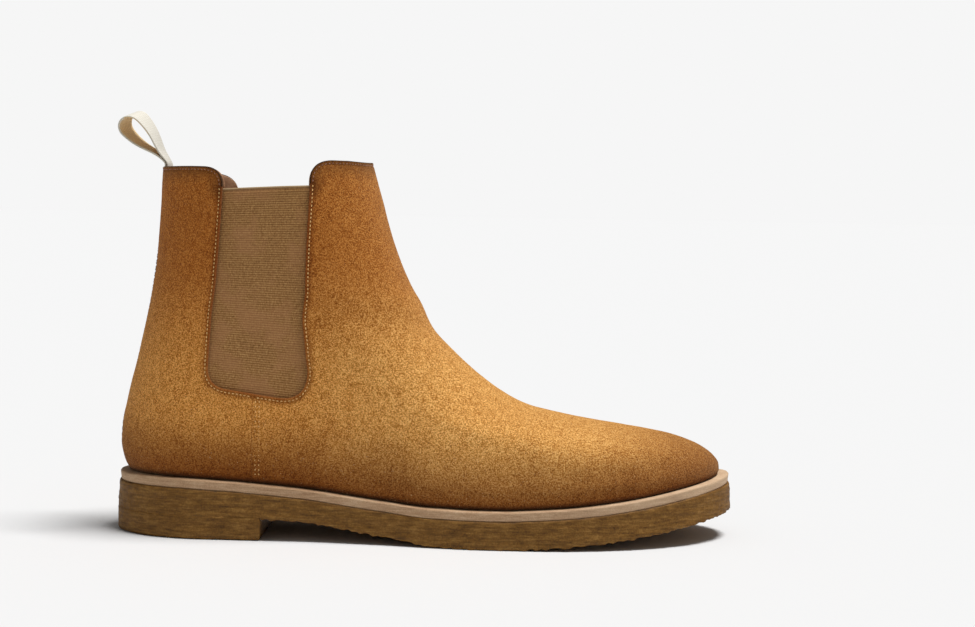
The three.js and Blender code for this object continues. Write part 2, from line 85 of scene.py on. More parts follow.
GORE_UNDERLAP = 8  # how far the gore runs on under the suede
GORE_HEM = 2.4
GORE_FOOT_REAR = GORE_BOTTOM + 3.5
GORE_FOOT_FRONT = GORE_BOTTOM - 3.5
GORE_FOOT_ROUNDS = (10, 15)
SEAM_X = GORE_X - 3
SEAM_LAP = 0.7
HEEL_BREAST = -78
MARGIN = 12  # how far the suede is turned in under the foot
FEATHER_ROUND = 1.5
STITCH = 1.3
STITCH_INSET = 1.5
STITCH_PITCH = 1.9
STITCH_SUNK = 0.3
SEAM_ROWS = (1.1, 2.9)
SIDE_STITCH = 1.25
SIDE_STITCH_PITCH = 2.3
BACK_STITCH_FROM, BACK_STITCH_TO, BACK_STITCH_RISE = 2.5, 149, 1.55
BACK_STITCH_TURN = 0.028  # half the width of the zigzag, as a turn
BACK_GAP_TURN = 0.0035  # half the gap at the back seam, as a turn
EDGE_SPACING = 1.15  # of the mesh's points round a panel
OUTER, INNER = -1, 1


# ---- smooth curves
def curve(points):
    """Monotone cubic through (t, value) pairs, level beyond both ends."""
    t, v = np.array(points, float).T
    run = np.diff(t)
    slope = np.diff(v) / run
    tangent = np.zeros(len(t))
    tangent[0], tangent[-1] = slope[0], slope[-1]
    for i in range(1, len(t) - 1):
        if slope[i - 1] * slope[i] > 0:
            before = 2 * run[i] + run[i - 1]
            after = run[i] + 2 * run[i - 1]
            tangent[i] = (before + after) / (before / slope[i - 1] + after / slope[i])

    def at(x):
        x = np.clip(np.asarray(x, float), t[0], t[-1])
        i = np.clip(np.searchsorted(t, x, side="right") - 1, 0, len(run) - 1)
        s = (x - t[i]) / run[i]
        return (
            (1 + 2 * s) * (1 - s) ** 2 * v[i]
            + s * (1 - s) ** 2 * run[i] * tangent[i]
            + s * s * (3 - 2 * s) * v[i + 1]
            + s * s * (s - 1) * run[i] * tangent[i + 1]
        )

    return at


# Shares of the heel lift, the toe spring and the crepe's thickness along x.
heel_rise = curve([(-90, 0.94), (-60, 0.83), (-20, 0.35), (6, 0.05), (18, 0)])
toe_rise = curve([(42, 0), (70, 0.13), (100, 0.37), (130, 0.72), (152, 1)])
crepe_share = curve([(-152, 1.03), (-120, 1.01), (-85, 0.9), (-50, 0.82), (-20, 0.89), (10, 1)])
# Half widths and the middle of the foot along x.
outer_half = curve([(-150, 30), (-120, 31.5), (-90, 32.5), (-55, 34), (-20, 38.5), (10, 45),
                    (35, 48.2), (60, 48.7)])
inner_half = curve([(-150, 30), (-120, 31.5), (-90, 31), (-55, 29), (-20, 31), (15, 39), (45, 46.6),
                    (65, 49.2)])
centre_y = curve([(-150, 2), (-60, 1), (0, 0), (60, 0), (110, 3), (150, 8)])
# Side outline of the upper, the depths of its round ends, and the shaft, by height over the seat.
front_x = curve([
    (0, 147.7), (5, 147.4), (10, 144.4), (16, 137.4), (22.5, 125.3), (28, 111.2), (33.5, 93.3),
    (39, 72.6), (45, 53), (52, 39), (60, 27.5), (71, 14.7), (83, 3), (95, -3.2), (104, -8.5),
    (123, -16.8), (146, -24), (158, -27.5), (175, -31.5),
])
back_x = curve([
    (0, -147.7), (6, -150.7), (14, -152.3), (22, -151.9), (35, -149.2), (60, -143.4),
    (90, -137.4), (115, -134.3), (140, -132.8), (165, -132.2),
])
front_round = curve([(0, 96), (12, 90), (22, 74), (40, 62), (70, 56), (120, 48), (175, 46)])
back_round = curve([(0, 44), (30, 46), (90, 52)])
shaft_half = curve([(0, 35), (70, 33.5), (100, 33), (140, 33.5), (155, 34.5)])
shaft_share = curve([(8, 0), (30, 0.28), (60, 0.8), (85, 1)])
bulge = curve([(0, 0), (10, 2.2), (25, 2.6), (60, 0.6), (90, 0)])
SHAFT_CENTRE_Y = 1


def tread_z(x):
    return HEEL_LIFT * heel_rise(x) + TOE_SPRING * toe_rise(x)


def crepe_top_z(x):
    return tread_z(x) + CREPE * crepe_share(x)


def seat_z(x):
    return crepe_top_z(x) + GAP + MIDSOLE


# ---- the wall of the upper
def rounded_end(share):
    """Share of the full half width, from 0 at the very end to 1 where the round ends."""
    return np.sqrt(1 - (1 - np.clip(share, 0, 1)) ** 2.2)


def wall_point(turn, h):
    """Outside face of the suede. Turn 0 is the toe end of a level, and +pi/2 the inner side."""
    front, back = front_x(h), back_x(h)
    x = back + (front - back) * (1 + np.cos(turn)) / 2
    inner = np.sin(turn) >= 0
    shaft = shaft_share(h)
    foot = np.where(inner, inner_half(x), outer_half(x))
    half = foot * (1 - shaft) + shaft_half(h) * shaft + bulge(h)
    middle = centre_y(x) * (1 - shaft) + SHAFT_CENTRE_Y * shaft
    ends = rounded_end((front - x) / front_round(h)) * rounded_end((x - back) / back_round(h))
    y = middle + np.where(inner, 1, -1) * half * ends
    return np.stack([x, y, seat_z(x) + h], -1)


def unit(vectors):
    length = np.linalg.norm(vectors, axis=-1, keepdims=True)
    return vectors / np.maximum(length, 1e-12)


def wall_normal(turn, h):
    along = wall_point(turn + 0.02, h) - wall_point(turn - 0.02, h)
    up = wall_point(turn, h + 0.2) - wall_point(turn, np.maximum(0, h - 0.2))
    return unit(np.cross(along, up))


def surface(turn, v, depth):
    """Point at a depth below the outside face. v is the height over the midsole; below
    FEATHER_ROUND it runs round the feather edge and in along the turned-under margin."""
    turn, v, depth = np.broadcast_arrays(*(np.asarray(a, float) for a in (turn, v, depth)))
    h = np.maximum(v, FEATHER_ROUND) + GAP
    base, normal = wall_point(turn, h), wall_normal(turn, h)
    on_wall = base - depth[..., None] * normal
    plan = unit(normal * [1, 1, 0])
    lean = np.clip((FEATHER_ROUND - v) / FEATHER_ROUND, 0, math.pi / 2)
    under = np.maximum(0, FEATHER_ROUND * (1 - math.pi / 2) - v)
    inward = FEATHER_ROUND * (1 - np.cos(lean)) + under + depth * np.cos(lean)
    turned = base - inward[..., None] * plan
    rise = GAP + FEATHER_ROUND * (1 - np.sin(lean)) + depth * np.sin(lean)
    turned[..., 2] = seat_z(base[..., 0]) + rise
    level = base - depth[..., None] * plan
    share = np.clip((v - FEATHER_ROUND) / 4, 0, 1)[..., None]
    return np.where(v[..., None] < FEATHER_ROUND, turned, on_wall * share + level * (1 - share))


def skin(points, depth=0):
    """The same for rows of (turn, v)."""
    return surface(points[:, 0], points[:, 1], depth)


def surface_normal(turn, v):
    along = surface(turn + 0.02, v, 0) - surface(turn - 0.02, v, 0)
    up = surface(turn, v + 0.2, 0) - surface(turn, v - 0.2, 0)
    return unit(np.cross(along, up))


def foot_point(turn, grow):
    """Footprint of the upper moved out by grow, as x and y."""
    ground = np.zeros(len(turn))
    along = wall_point(turn + 0.02, ground) - wall_point(turn - 0.02, ground)
    out = unit(np.stack([along[..., 1], -along[..., 0]], -1))
    return wall_point(turn, ground)[..., :2] + grow * out


def to_wall(xz, side):
    """(turn, v) of points given by x and z on one side of the boot."""
    x, z = np.asarray(xz, float).T
    h = z - seat_z(x)
    front, back = front_x(h), back_x(h)
    turn = np.arccos(np.clip(2 * (x - back) / (front - back) - 1, -1, 1))
    return np.stack([side * turn, h - GAP], -1)


def upright(x, z, side):
    """(turn, v) of points at one x and several heights."""
    return to_wall(np.stack([np.full(len(z), x), z], -1), side)


# ---- paths
def length_along(points):
    """Distance along a path from its start to each of its points."""
    steps = np.linalg.norm(np.diff(points, axis=0), axis=1)
    return np.concatenate([[0], np.cumsum(steps)])


def read_along(rows, length, at):
    """Rows of values, known at lengths along a path, read at others."""
    return np.stack([np.interp(at, length, column) for column in rows.T], -1)


# ---- outlines of the panels
def gore_rear_x(z, grow=0):
    share = (z - GORE_BOTTOM) / (GORE_TOP - GORE_BOTTOM)
    return GORE_X - GORE_HALF - GORE_TAPER * (0.5 - share) - grow


def gore_front_x(grow=0):
    return GORE_X + GORE_HALF + grow


def rounded(points, steps=14):
    """Polyline with its inner corners rounded; a point is x, z and perhaps a radius."""
    path = []
    for i, (x, z, *radius) in enumerate(points):
        corner = np.array([x, z], float)
        if not radius or i in (0, len(points) - 1):
            path.append(corner)
            continue
        before = unit(np.array(points[i - 1][:2], float) - corner) * radius[0]
        after = unit(np.array(points[i + 1][:2], float) - corner) * radius[0]
        for t in np.linspace(0, 1, steps):
            path.append(corner + before * (1 - t) ** 2 + after * t * t)
    return np.array(path)


def resampled(path, spacing):
    """Path of (turn, v) points, evenly spaced along the wall, both ends kept."""
    share = np.linspace(0, 1, 24, endpoint=False)[:, None]
    dense = [a + (b - a) * share for a, b in zip(path[:-1], path[1:])]
    dense = np.vstack([*dense, path[-1:]])
    length = length_along(skin(dense))
    count = max(2, int(round(length[-1] / spacing)) + 1)
    return read_along(dense, length, np.linspace(0, length[-1], count))


def foot_corners():
    return (
        (gore_rear_x(GORE_FOOT_REAR), GORE_FOOT_REAR, GORE_FOOT_ROUNDS[0]),
        (gore_front_x(), GORE_FOOT_FRONT, GORE_FOOT_ROUNDS[1]),
    )


def foot_z(x):
    share = (x - gore_rear_x(GORE_FOOT_REAR)) / (gore_front_x() - gore_rear_x(GORE_FOOT_REAR))
    return GORE_FOOT_REAR + (GORE_FOOT_FRONT - GORE_FOOT_REAR) * share


def window_edge(seam_x, corner, tab_corner, end, gore_top):
    """A panel's edge from the side seam up its side of the gore, and on along the collar."""
    path = rounded([(seam_x, foot_z(SEAM_X)), corner, (*tab_corner, TAB_ROUND), end])
    split = int(np.argmax(path[:, 1] > gore_top + 0.5))
    return path[: split + 1], path[split:]


def rear_edges(side, drop):
    """Gore and collar edges of a rear quarter whose top is lowered by drop."""
    top = COLLAR_REAR - drop
    tab_top = top - (INNER_TAB_DROP if side == INNER else 0)
    end = (back_x(top - seat_z(BACK_SEAM_X)) + 6, top)
    tab_corner = (gore_rear_x(tab_top), tab_top)
    return window_edge(SEAM_X, foot_corners()[0], tab_corner, end, GORE_TOP - GORE_TOP_SLOPE)


def front_edges(drop):
    """The same of the front panel."""
    top = COLLAR_FRONT - drop
    end = (gore_front_x() + 18, top)
    tab_corner = (gore_front_x(), top)
    return window_edge(SEAM_X - SEAM_LAP, foot_corners()[1], tab_corner, end, GORE_TOP)


def seam_path(x, top, bottom, side):
    """Side seam at x from one v down to another, and on under the foot."""
    z = np.linspace(top, bottom, 8) + GAP + float(seat_z(SEAM_X))
    seam = upright(x, z, side)
    return np.vstack([seam, [seam[-1, 0], -MARGIN]])


def quarter_loop(side, drop=0.0):
    """Closed outline of a rear quarter as (kind of edge, path of (turn, v)) parts."""
    gore, collar = (to_wall(p, side) for p in rear_edges(side, drop))
    seam_turn = side * (math.pi - BACK_GAP_TURN)
    top = to_wall([(BACK_SEAM_X + 0.1, COLLAR_REAR - drop)], side)[0, 1]
    collar = np.vstack([collar, [seam_turn, top]])
    bottom = to_wall([(SEAM_X, float(seat_z(SEAM_X)) + 1.5)], side)[0, 1]
    seam = seam_path(SEAM_X, gore[0, 1], bottom, side)[::-1]
    back = np.array([collar[-1], [seam_turn, -MARGIN]])
    hem = np.array([back[-1], seam[0]])
    return [("seam", seam), ("gore", gore), ("collar", collar), ("back", back), ("hem", hem)]


def front_loop(drop=0.0):
    """Closed outline of the front panel, in the same form."""
    parts = []
    for side in (OUTER, INNER):
        gore, collar = (to_wall(p, side) for p in front_edges(drop))
        seam = seam_path(SEAM_X - SEAM_LAP, gore[0, 1], 1.2, side)
        parts.append([("seam", seam[::-1]), ("gore", gore), ("collar", collar)])
    outer, inner = parts
    middle = [0, to_wall([(-30.0, COLLAR_FRONT - drop)], 1)[0, 1]]
    top = np.array([outer[2][1][-1], middle, inner[2][1][-1]])
    hem = np.array([inner[0][1][0], outer[0][1][0]])
    turn_back = [(kind, path[::-1]) for kind, path in reversed(inner)]
    return [*outer, ("collar", top), *turn_back, ("hem", hem)]


def joined(loop, spacing):
    """One closed ring from the parts of a loop, counter-clockwise, with the kind of each point."""
    points, kinds = [], []
    for kind, path in loop:
        part = resampled(path, spacing * (3 if kind == "hem" else 1))[:-1]
        points.append(part)
        kinds += [kind] * len(part)
    ring, kinds = np.vstack(points), np.array(kinds)
    nxt = np.roll(ring, -1, axis=0)
    if np.sum(ring[:, 0] * nxt[:, 1] - nxt[:, 0] * ring[:, 1]) < 0:
        ring, kinds = ring[::-1], kinds[::-1]
    return ring, kinds


def moved_in(ring, distance):
    """Closed ring of (turn, v) points moved along the wall to its left by a distance."""
    turn, v = ring.T
    here = skin(ring)
    ahead = np.roll(here, -1, axis=0) - here
    behind = np.roll(ahead, 1, axis=0)
    normal = surface_normal(turn, v)
    left = unit(np.cross(normal, unit(ahead))) + unit(np.cross(normal, unit(behind)))
    size = np.linalg.norm(left, axis=-1, keepdims=True) / 2
    left = unit(left) / np.maximum(size, 0.6)
    by_turn = (surface(turn + 0.01, v, 0) - surface(turn - 0.01, v, 0)) / 0.02
    by_v = (surface(turn, v + 0.1, 0) - surface(turn, v - 0.1, 0)) / 0.2
    a, b = np.sum(by_turn**2, -1), np.sum(by_turn * by_v, -1)
    c = np.sum(by_v**2, -1)
    p, q = np.sum(by_turn * left, -1), np.sum(by_v * left, -1)
    det = np.maximum(a * c - b * b, 1e-9)
    step = np.stack([(c * p - b * q) / det, (a * q - b * p) / det], -1)
    return ring + distance * step


# ---- meshes
def inside(points, ring):
    """Which points lie inside a closed ring, both in the same plane."""
    found = np.zeros(len(points), bool)
    x, y = points[:, 0], points[:, 1]
    for (x0, y0), (x1, y1) in zip(ring, np.roll(ring, -1, axis=0)):
        if y0 != y1:
            found ^= ((y0 > y) != (y1 > y)) & (x < (x1 - x0) * (y - y0) / (y1 - y0) + x0)
    return found


def triangles_in(ring, extra):
    """Triangles over a ring's own points followed by the extra points, counter-clockwise."""
    every = [Vector(p) for p in (*ring, *extra)]
    made = delaunay_2d_cdt(every, [], [list(range(len(ring)))], 1, 1e-7)
    source = [own[0] if own else -1 for own in made[3]]
    faces = []
    for face in made[2]:
        corners = [source[i] for i in face]
        if -1 in corners:
            continue
        a, b, c = (every[i] for i in corners[:3])
        turned = (b - a).cross(c - a) < 0
        faces.append(corners[::-1] if turned else corners)
    return faces


def near(points, targets):
    """Distance from each point to the closest target, and which target it is."""
    tree = kdtree.KDTree(len(targets))
    for i, p in enumerate(targets):
        tree.insert(p, i)
    tree.balance()
    hits = [tree.find(p) for p in points]
    return np.array([h[2] for h in hits]), np.array([h[1] for h in hits])


def add(name, data):
    """Object in the scene for a mesh, a camera or a light."""
    made = bpy.data.objects.new(name, data)
    bpy.context.scene.collection.objects.link(made)
    return made


def make(name, points, faces, material, body="boot", replaces=(), attributes=None):
    """Mesh object from points in mm, riding on a body."""
    mesh = bpy.data.meshes.new(name)
    mesh.from_pydata((np.asarray(points) * MM).tolist(), [], [list(map(int, f)) for f in faces])
    for key, values in (attributes or {}).items():
        data = mesh.attributes.new(key, "FLOAT", "POINT").data
        data.foreach_set("value", np.asarray(values, np.float32))
    shell = bmesh.new()
    shell.from_mesh(mesh)
    bmesh.ops.recalc_face_normals(shell, faces=shell.faces)
    shell.to_mesh(mesh)
    shell.free()
    mesh.polygons.foreach_set("use_smooth", [True] * len(mesh.polygons))
    mesh.materials.append(material)
    piece = add(name, mesh)
    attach(piece, body)
    if replaces:
        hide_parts(*replaces)
    return piece


TURN_SCALE = 110  # mm along the wall for one radian of turn, roughly


def lattice(ring, place, spacing, clear):
    """(turn, v) points about spacing apart on the wall, inside a ring and clear of its edge."""
    low, high = ring.min(0), ring.max(0)
    columns = np.arange(low[0], high[0], spacing / TURN_SCALE)
    levels = np.arange(low[1], high[1], 0.4)
    grid = surface(columns[:, None], levels[None], 0)
    rise = np.linalg.norm(np.diff(grid, axis=1), axis=2)
    length = np.concatenate([np.zeros((len(columns), 1)), np.cumsum(rise, 1)], 1)
    width = np.linalg.norm(np.diff(grid, axis=0, append=grid[-1:]), axis=2)
    found = []
    for i, turn in enumerate(columns):
        at = np.arange(spacing * (0.3 + 0.5 * (i % 2)), length[i, -1], spacing)
        v = np.interp(at, length[i], levels)
        if i % 2:
            v = v[np.interp(v, levels, width[i]) > 0.72 * spacing]
        found.append(np.stack([np.full(len(v), turn), v], -1))
    found = np.vstack(found)
    found = found[inside(found, ring)]
    distance, _ = near(skin(found), place)
    return found[distance > clear]


def inner_rows(ring, edge, rows):
    """Rings inside a ring, where they keep their distance from its edge."""
    found = []
    for row in rows:
        moved = moved_in(ring, row)
        far, _ = near(skin(moved), edge)
        found.append(moved[(far > row - 0.15) & inside(moved, ring)])
    return found


def sheet_faces(count, rims, face_ring, extra, back_ring, back_extra):
    """Rounded rim between a face and a back, each a ring of count points and its inner points."""
    faces = [f[::-1] for f in strip(count, rims, False)]
    stretch = np.array([TURN_SCALE, 1])
    start = rims * count
    own = np.arange(count)
    index = np.concatenate([own, start + np.arange(len(extra))])
    for f in triangles_in(face_ring * stretch, extra * stretch):
        faces.append(tuple(index[i] for i in f))
    index = np.concatenate([start - count + own, start + len(extra) + np.arange(len(back_extra))])
    for f in triangles_in(back_ring * stretch, back_extra * stretch):
        faces.append(tuple(index[i] for i in f[::-1]))
    return faces


def panel(name, loop, outer_depth, thickness, relief, material, replaces, spacing=1.9,
          rows=(1.0, 1.5, 2.0, 2.5, 3.1, 3.9)):
    """Sheet over the wall with rounded cut edges. relief(v, distances, place) lowers its face."""
    ring, kinds = joined(loop, EDGE_SPACING)
    edge = skin(ring)
    rim = min(0.55, thickness * 0.45)
    bevel = ((1, 0), (0.35, 0.22), (0, 1))
    rims = [(moved_in(ring, rim * inset), rim * drop) for inset, drop in bevel]
    rims += [(r, thickness - d) for r, d in reversed(rims)]
    extra = inner_rows(ring, edge, rows)
    extra = np.vstack([*extra, lattice(ring, edge, spacing, (rows[-1] if rows else rim) + 0.8)])
    back_extra = lattice(ring, edge, 5, 3)
    params = np.vstack([r for r, _ in rims] + [extra, back_extra])
    counts = [len(ring)] * len(rims) + [len(extra), len(back_extra)]
    depth = np.repeat([d for _, d in rims] + [0, thickness], counts)
    on_face = np.repeat([True] * 3 + [False] * 3 + [True, False], counts)
    place = skin(params)
    distances = {}
    for kind in ("gore", "collar", "seam", "back"):
        mine = edge[kinds == kind]
        distances[kind] = near(place, mine)[0] if len(mine) else np.full(len(place), 99.0)
    lowered = relief(params[:, 1], distances, place) if relief else np.zeros(len(place))
    depth = depth + np.where(on_face, lowered, np.minimum(lowered, 0.2))
    faces = sheet_faces(len(ring), len(rims), rims[0][0], extra, rims[-1][0], back_extra)
    values = {"to_" + kind: d for kind, d in distances.items()}
    values["rise"] = params[:, 1]
    return make(name, skin(params, outer_depth + depth), faces, material,
                replaces=replaces, attributes=values)


def spots(points, scale, seed=0.0):
    """Smooth noise from -1 to 1 at points in mm, with spots of one size or a size for each axis."""
    shifted = np.asarray(points, float) / scale + seed
    return np.array([noise.noise(Vector(p)) for p in shifted])


def strip(count, levels, closed_ends=True, start=0):
    """Quads through rings of count points each, and flat caps at both ends."""
    faces = []
    for k in range(levels - 1):
        for i in range(count):
            j = (i + 1) % count
            a, b = start + k * count, start + (k + 1) * count
            faces.append((a + i, a + j, b + j, b + i))
    if closed_ends:
        faces.append(tuple(start + i for i in range(count))[::-1])
        faces.append(tuple(start + (levels - 1) * count + i for i in range(count)))
    return faces


# ---- materials
class Finish:
    """A material's nodes, with one short call for each node used."""

    def __init__(self, name, color=None, **values):
        self.material = bpy.data.materials.new(name)
        self.material.use_nodes = True
        self.tree = self.material.node_tree
        self.shader = self.tree.nodes["Principled BSDF"]
        if color:
            self.shader.inputs["Base Color"].default_value = (*color, 1)
            self.material.diffuse_color = (*color, 1)
        for key, value in values.items():
            self.shader.inputs[key.replace("_", " ")].default_value = value
        self.place = self.node("TexCoord", output="Object")
        self.normal = None

    def node(self, kind, inputs=(), output=0, **settings):
        """Output of a new node, its inputs given as numbers, colours or other outputs."""
        made = self.tree.nodes.new("ShaderNode" + kind)
        for key, value in settings.items():
            setattr(made, key, value)
        for key, value in dict(inputs).items():
            self.put(made.inputs[key], value)
        return made.outputs[output]

    def put(self, socket, value):
        if isinstance(value, bpy.types.NodeSocket):
            self.tree.links.new(value, socket)
        elif isinstance(value, tuple) and len(value) == 3 and socket.type == "RGBA":
            socket.default_value = (*value, 1)
        else:
            socket.default_value = value

    def spots(self, size, detail=2.0, rough=0.5, stretch=None):
        """Noise whose spots are about size mm across, or stretched by a factor for each axis."""
        place = self.place
        if stretch:
            place = self.node("Mapping", {"Vector": place, "Scale": tuple(1 / s for s in stretch)})
        inputs = {"Vector": place, "Scale": 1000 / size, "Detail": detail, "Roughness": rough}
        return self.node("TexNoise", inputs, "Fac")

    def cells(self, size):
        return self.node("TexVoronoi", {"Vector": self.place, "Scale": 1000 / size}, "Distance")

    def read(self, name):
        return self.node("Attribute", output="Fac", attribute_name=name)

    def axis(self, index):
        return self.node("SeparateXYZ", {0: self.place}, index)

    def calc(self, operation, a, b=0.0):
        return self.node("Math", {0: a, 1: b}, operation=operation)

    def total(self, *weighted):
        result = 0.0
        for value, weight in weighted:
            result = self.calc("ADD", result, self.calc("MULTIPLY", value, weight))
        return result

    def fade(self, value, start, end, low=0.0, high=1.0):
        """low up to start, high from end on, and smooth between."""
        inputs = {"Value": value, "From Min": start, "From Max": end, "To Min": low, "To Max": high}
        return self.node("MapRange", inputs, "Result", interpolation_type="SMOOTHSTEP")

    def ramp(self, value, *stops):
        color = self.node("ValToRGB", {"Fac": value}, "Color")
        band = color.node.color_ramp
        while len(band.elements) < len(stops):
            band.elements.new(0.5)
        for element, (at, shade) in zip(band.elements, stops):
            element.position = at
            element.color = (*shade, 1)
        return color

    def mix(self, a, b, share, mode="MIX"):
        return self.node("Mix", {"Factor": share, 6: a, 7: b}, 2, data_type="RGBA", blend_type=mode)

    def bump(self, height, depth, strength):
        """Relief of a height from 0 to 1, depth mm tall."""
        inputs = {"Strength": strength, "Distance": depth * MM, "Height": height}
        if self.normal:
            inputs["Normal"] = self.normal
        self.normal = self.node("Bump", inputs, "Normal")
        self.put(self.shader.inputs["Normal"], self.normal)

    def done(self, color, roughness=None):
        self.put(self.shader.inputs["Base Color"], color)
        if roughness is not None:
            self.put(self.shader.inputs["Roughness"], roughness)
        return self.material


def suede_finish():
    """Napped tan suede: fine golden speckle, darker at the tabs and cut edges, with painted shade
    on the shaft, low over the sole, along the feather edge and beside the gores.
    """
    m = Finish("suede", (0.46, 0.2, 0.06), Roughness=0.95, Sheen_Weight=0.22, Sheen_Roughness=0.4,
               Sheen_Tint=(1, 0.72, 0.4, 1), Specular_IOR_Level=0.12)
    fibre = m.spots(0.32, 3, 0.7)
    speck = m.spots(0.7, 3, 0.6)
    brushed = m.spots(3.4, 3, 0.55, (1, 1, 1.6))
    broad = m.spots(46, 2, 0.5)
    tone = m.total((fibre, 0.44), (speck, 0.44), (brushed, 0.08), (broad, 0.04))
    color = m.ramp(tone, (0.435, (0.32, 0.112, 0.016)), (0.5, (0.68, 0.305, 0.064)),
                   (0.565, (1.0, 0.59, 0.2)))
    rise, to_collar, to_gore = m.read("rise"), m.read("to_collar"), m.read("to_gore")
    # height over which the painted shade low over the sole fades out, made uneven by broad spots
    sole_shade_rise = m.total((rise, 1.0), (broad, 14.0))
    uneven = m.total((to_collar, 1.0), (brushed, 5.0))
    shades = (  # what is read, from and to, the colour's share at both, the colour, its mode
        (m.axis(2), 0.075, 0.14, 0, 1, (0.66, 0.5, 0.36), "MULTIPLY"),  # painted shade: the upright shaft darker than the top-lit vamp
        (sole_shade_rise, 8, 44, 0.97, 0, (0.36, 0.25, 0.18), "MULTIPLY"),  # painted shade low over the sole
        (m.axis(0), 0.06, 0.14, 0, 1, (0.86, 0.8, 0.74), "MULTIPLY"),  # toe
        (m.axis(0), -0.08, 0, 1, 0, (0.93, 0.82, 0.68), "MULTIPLY"),  # heel
        (rise, 0.4, 3.2, 0.8, 0, (0.07, 0.02, 0.007), "MIX"),  # painted shadow line along the feather edge
        (uneven, 2.5, 13, 0.66, 0, (0.13, 0.045, 0.01), "MIX"),  # below the collar
        (to_collar, 0.25, 1, 0.9, 0, (0.03, 0.01, 0.004), "MIX"),  # the collar's cut edge
        (to_gore, 0.8, 5, 0.85, 0, (0.5, 0.36, 0.26), "MULTIPLY"),  # painted shade beside the gore
        (to_gore, 0.1, 1.2, 0.55, 0, (0.26, 0.08, 0.02), "MIX"),  # painted shade in the groove at the gore's edge
        (m.read("to_back"), 0.5, 4.5, 0.85, 0, (0.06, 0.018, 0.008), "MIX"),  # back seam
    )
    for value, start, end, low, high, shade, mode in shades:
        color = m.mix(color, shade, m.fade(value, start, end, low, high), mode)
    flecks = m.fade(m.spots(0.8, 2, 0.8), 0.66, 0.72, 0, 0.5)
    fewer = m.fade(rise, 20, 60, 1, 0.25)
    color = m.mix(color, (0.85, 0.6, 0.33), m.calc("MULTIPLY", flecks, fewer))
    m.bump(speck, 0.5, 0.85)
    m.bump(fibre, 0.3, 0.9)
    return m.done(color)


def elastic_finish():
    """Brown elastic: ribs crossed by fine threads, and a pale fold along the hem."""
    m = Finish("gore_elastic", (0.25, 0.135, 0.06), Roughness=0.85, Sheen_Weight=0.1,
               Sheen_Roughness=0.5, Specular_IOR_Level=0.2)
    rib = m.read("rib")
    threads = m.spots(0.5, 2, 0.5, (1, 1, 2.4))
    flecks = m.spots(0.8, 3, 0.7)
    patches = m.spots(16, 3, 0.5)
    tone = m.total((rib, 0.22), (threads, 0.34), (flecks, 0.44))
    color = m.ramp(tone, (0.3, (0.155, 0.068, 0.02)), (0.5, (0.325, 0.158, 0.05)),
                   (0.7, (0.54, 0.31, 0.115)))
    color = m.mix(color, (0.42, 0.2, 0.085), m.fade(patches, 0.46, 0.62, 0, 0.4))
    hem = m.read("hem")
    color = m.mix(color, (0.12, 0.06, 0.026), m.fade(hem, 0.25, 0.5, 0, 0.55))
    color = m.mix(color, (0.4, 0.27, 0.14), m.fade(hem, 0.9, 1.0))
    m.bump(threads, 0.12, 0.6)
    m.bump(flecks, 0.1, 0.4)
    return m.done(color)


def crepe_finish():
    """Natural crepe rubber: amber brown, mottled, in thin uneven layers."""
    m = Finish("crepe", (0.12, 0.058, 0.014), Roughness=0.6, Specular_IOR_Level=0.2,
               Subsurface_Weight=0.06, Subsurface_Radius=(0.004, 0.0018, 0.0006))
    layers = m.spots(0.9, 3, 0.6, (9, 9, 1))
    mottle = m.spots(2.4, 4, 0.65, (2, 2, 1))
    pits = m.spots(0.8, 4, 0.7)
    stain = m.spots(14, 3, 0.6, (1, 1, 2))
    tone = m.total((layers, 0.36), (mottle, 0.2), (pits, 0.32), (stain, 0.12))
    color = m.ramp(tone, (0.36, (0.06, 0.025, 0.004)), (0.5, (0.185, 0.084, 0.015)),
                   (0.64, (0.34, 0.18, 0.045)))
    m.bump(mottle, 0.4, 0.5)
    m.bump(pits, 0.3, 0.6)
    rough = m.fade(pits, 0.3, 0.7, 0.5, 0.75)
    return m.done(color, rough)


def midsole_finish():
    """Pale vegetable-tanned leather, fibrous along its cut edge."""
    m = Finish("midsole_leather", (0.5, 0.32, 0.19), Roughness=0.65, Specular_IOR_Level=0.25)
    grain = m.spots(0.6, 4, 0.7)
    streaks = m.spots(0.6, 3, 0.6, (14, 14, 1))
    stain = m.spots(22, 2, 0.5)
    tone = m.total((grain, 0.4), (streaks, 0.38), (stain, 0.22))
    color = m.ramp(tone, (0.36, (0.31, 0.17, 0.085)), (0.5, (0.49, 0.31, 0.175)),
                   (0.64, (0.66, 0.47, 0.3)))
    toe = m.fade(m.axis(0), 0.02, 0.15, 0, 0.4)
    color = m.mix(color, (0.72, 0.53, 0.35), toe)
    m.bump(grain, 0.15, 0.5)
    m.bump(streaks, 0.15, 0.4)
    return m.done(color)


def leather_finish(name, dark, light):
    """Smooth lining leather with fine pores."""
    m = Finish(name, light, Roughness=0.55, Specular_IOR_Level=0.35)
    pores = m.cells(0.9)
    grain = m.spots(2.2, 4, 0.6)
    wear = m.spots(30, 3, 0.55)
    tone = m.total((grain, 0.5), (wear, 0.5))
    color = m.ramp(tone, (0.35, dark), (0.65, light))
    color = m.mix(color, dark, m.fade(pores, 0.05, 0.3, 0.4, 0))
    m.bump(pores, 0.12, 0.5)
    m.bump(grain, 0.2, 0.35)
    return m.done(color, m.fade(wear, 0.3, 0.7, 0.48, 0.68))


def woven_finish(name, dark, light, pitch=0.8):
    """Plain weave of threads a pitch apart."""
    m = Finish(name, light, Roughness=0.85, Sheen_Weight=0.1, Specular_IOR_Level=0.2)
    turn = 2 * math.pi / (pitch * MM)
    across = m.calc("SINE", m.calc("MULTIPLY", m.calc("ADD", m.axis(0), m.axis(1)), turn))
    along = m.calc("SINE", m.calc("MULTIPLY", m.axis(2), turn))
    weave = m.fade(m.calc("MULTIPLY", across, along), -1, 1)
    fuzz = m.spots(0.5, 3, 0.6)
    tone = m.total((weave, 0.55), (fuzz, 0.45))
    m.bump(weave, 0.12, 0.7)
    return m.done(m.ramp(tone, (0.2, dark), (0.75, light)))


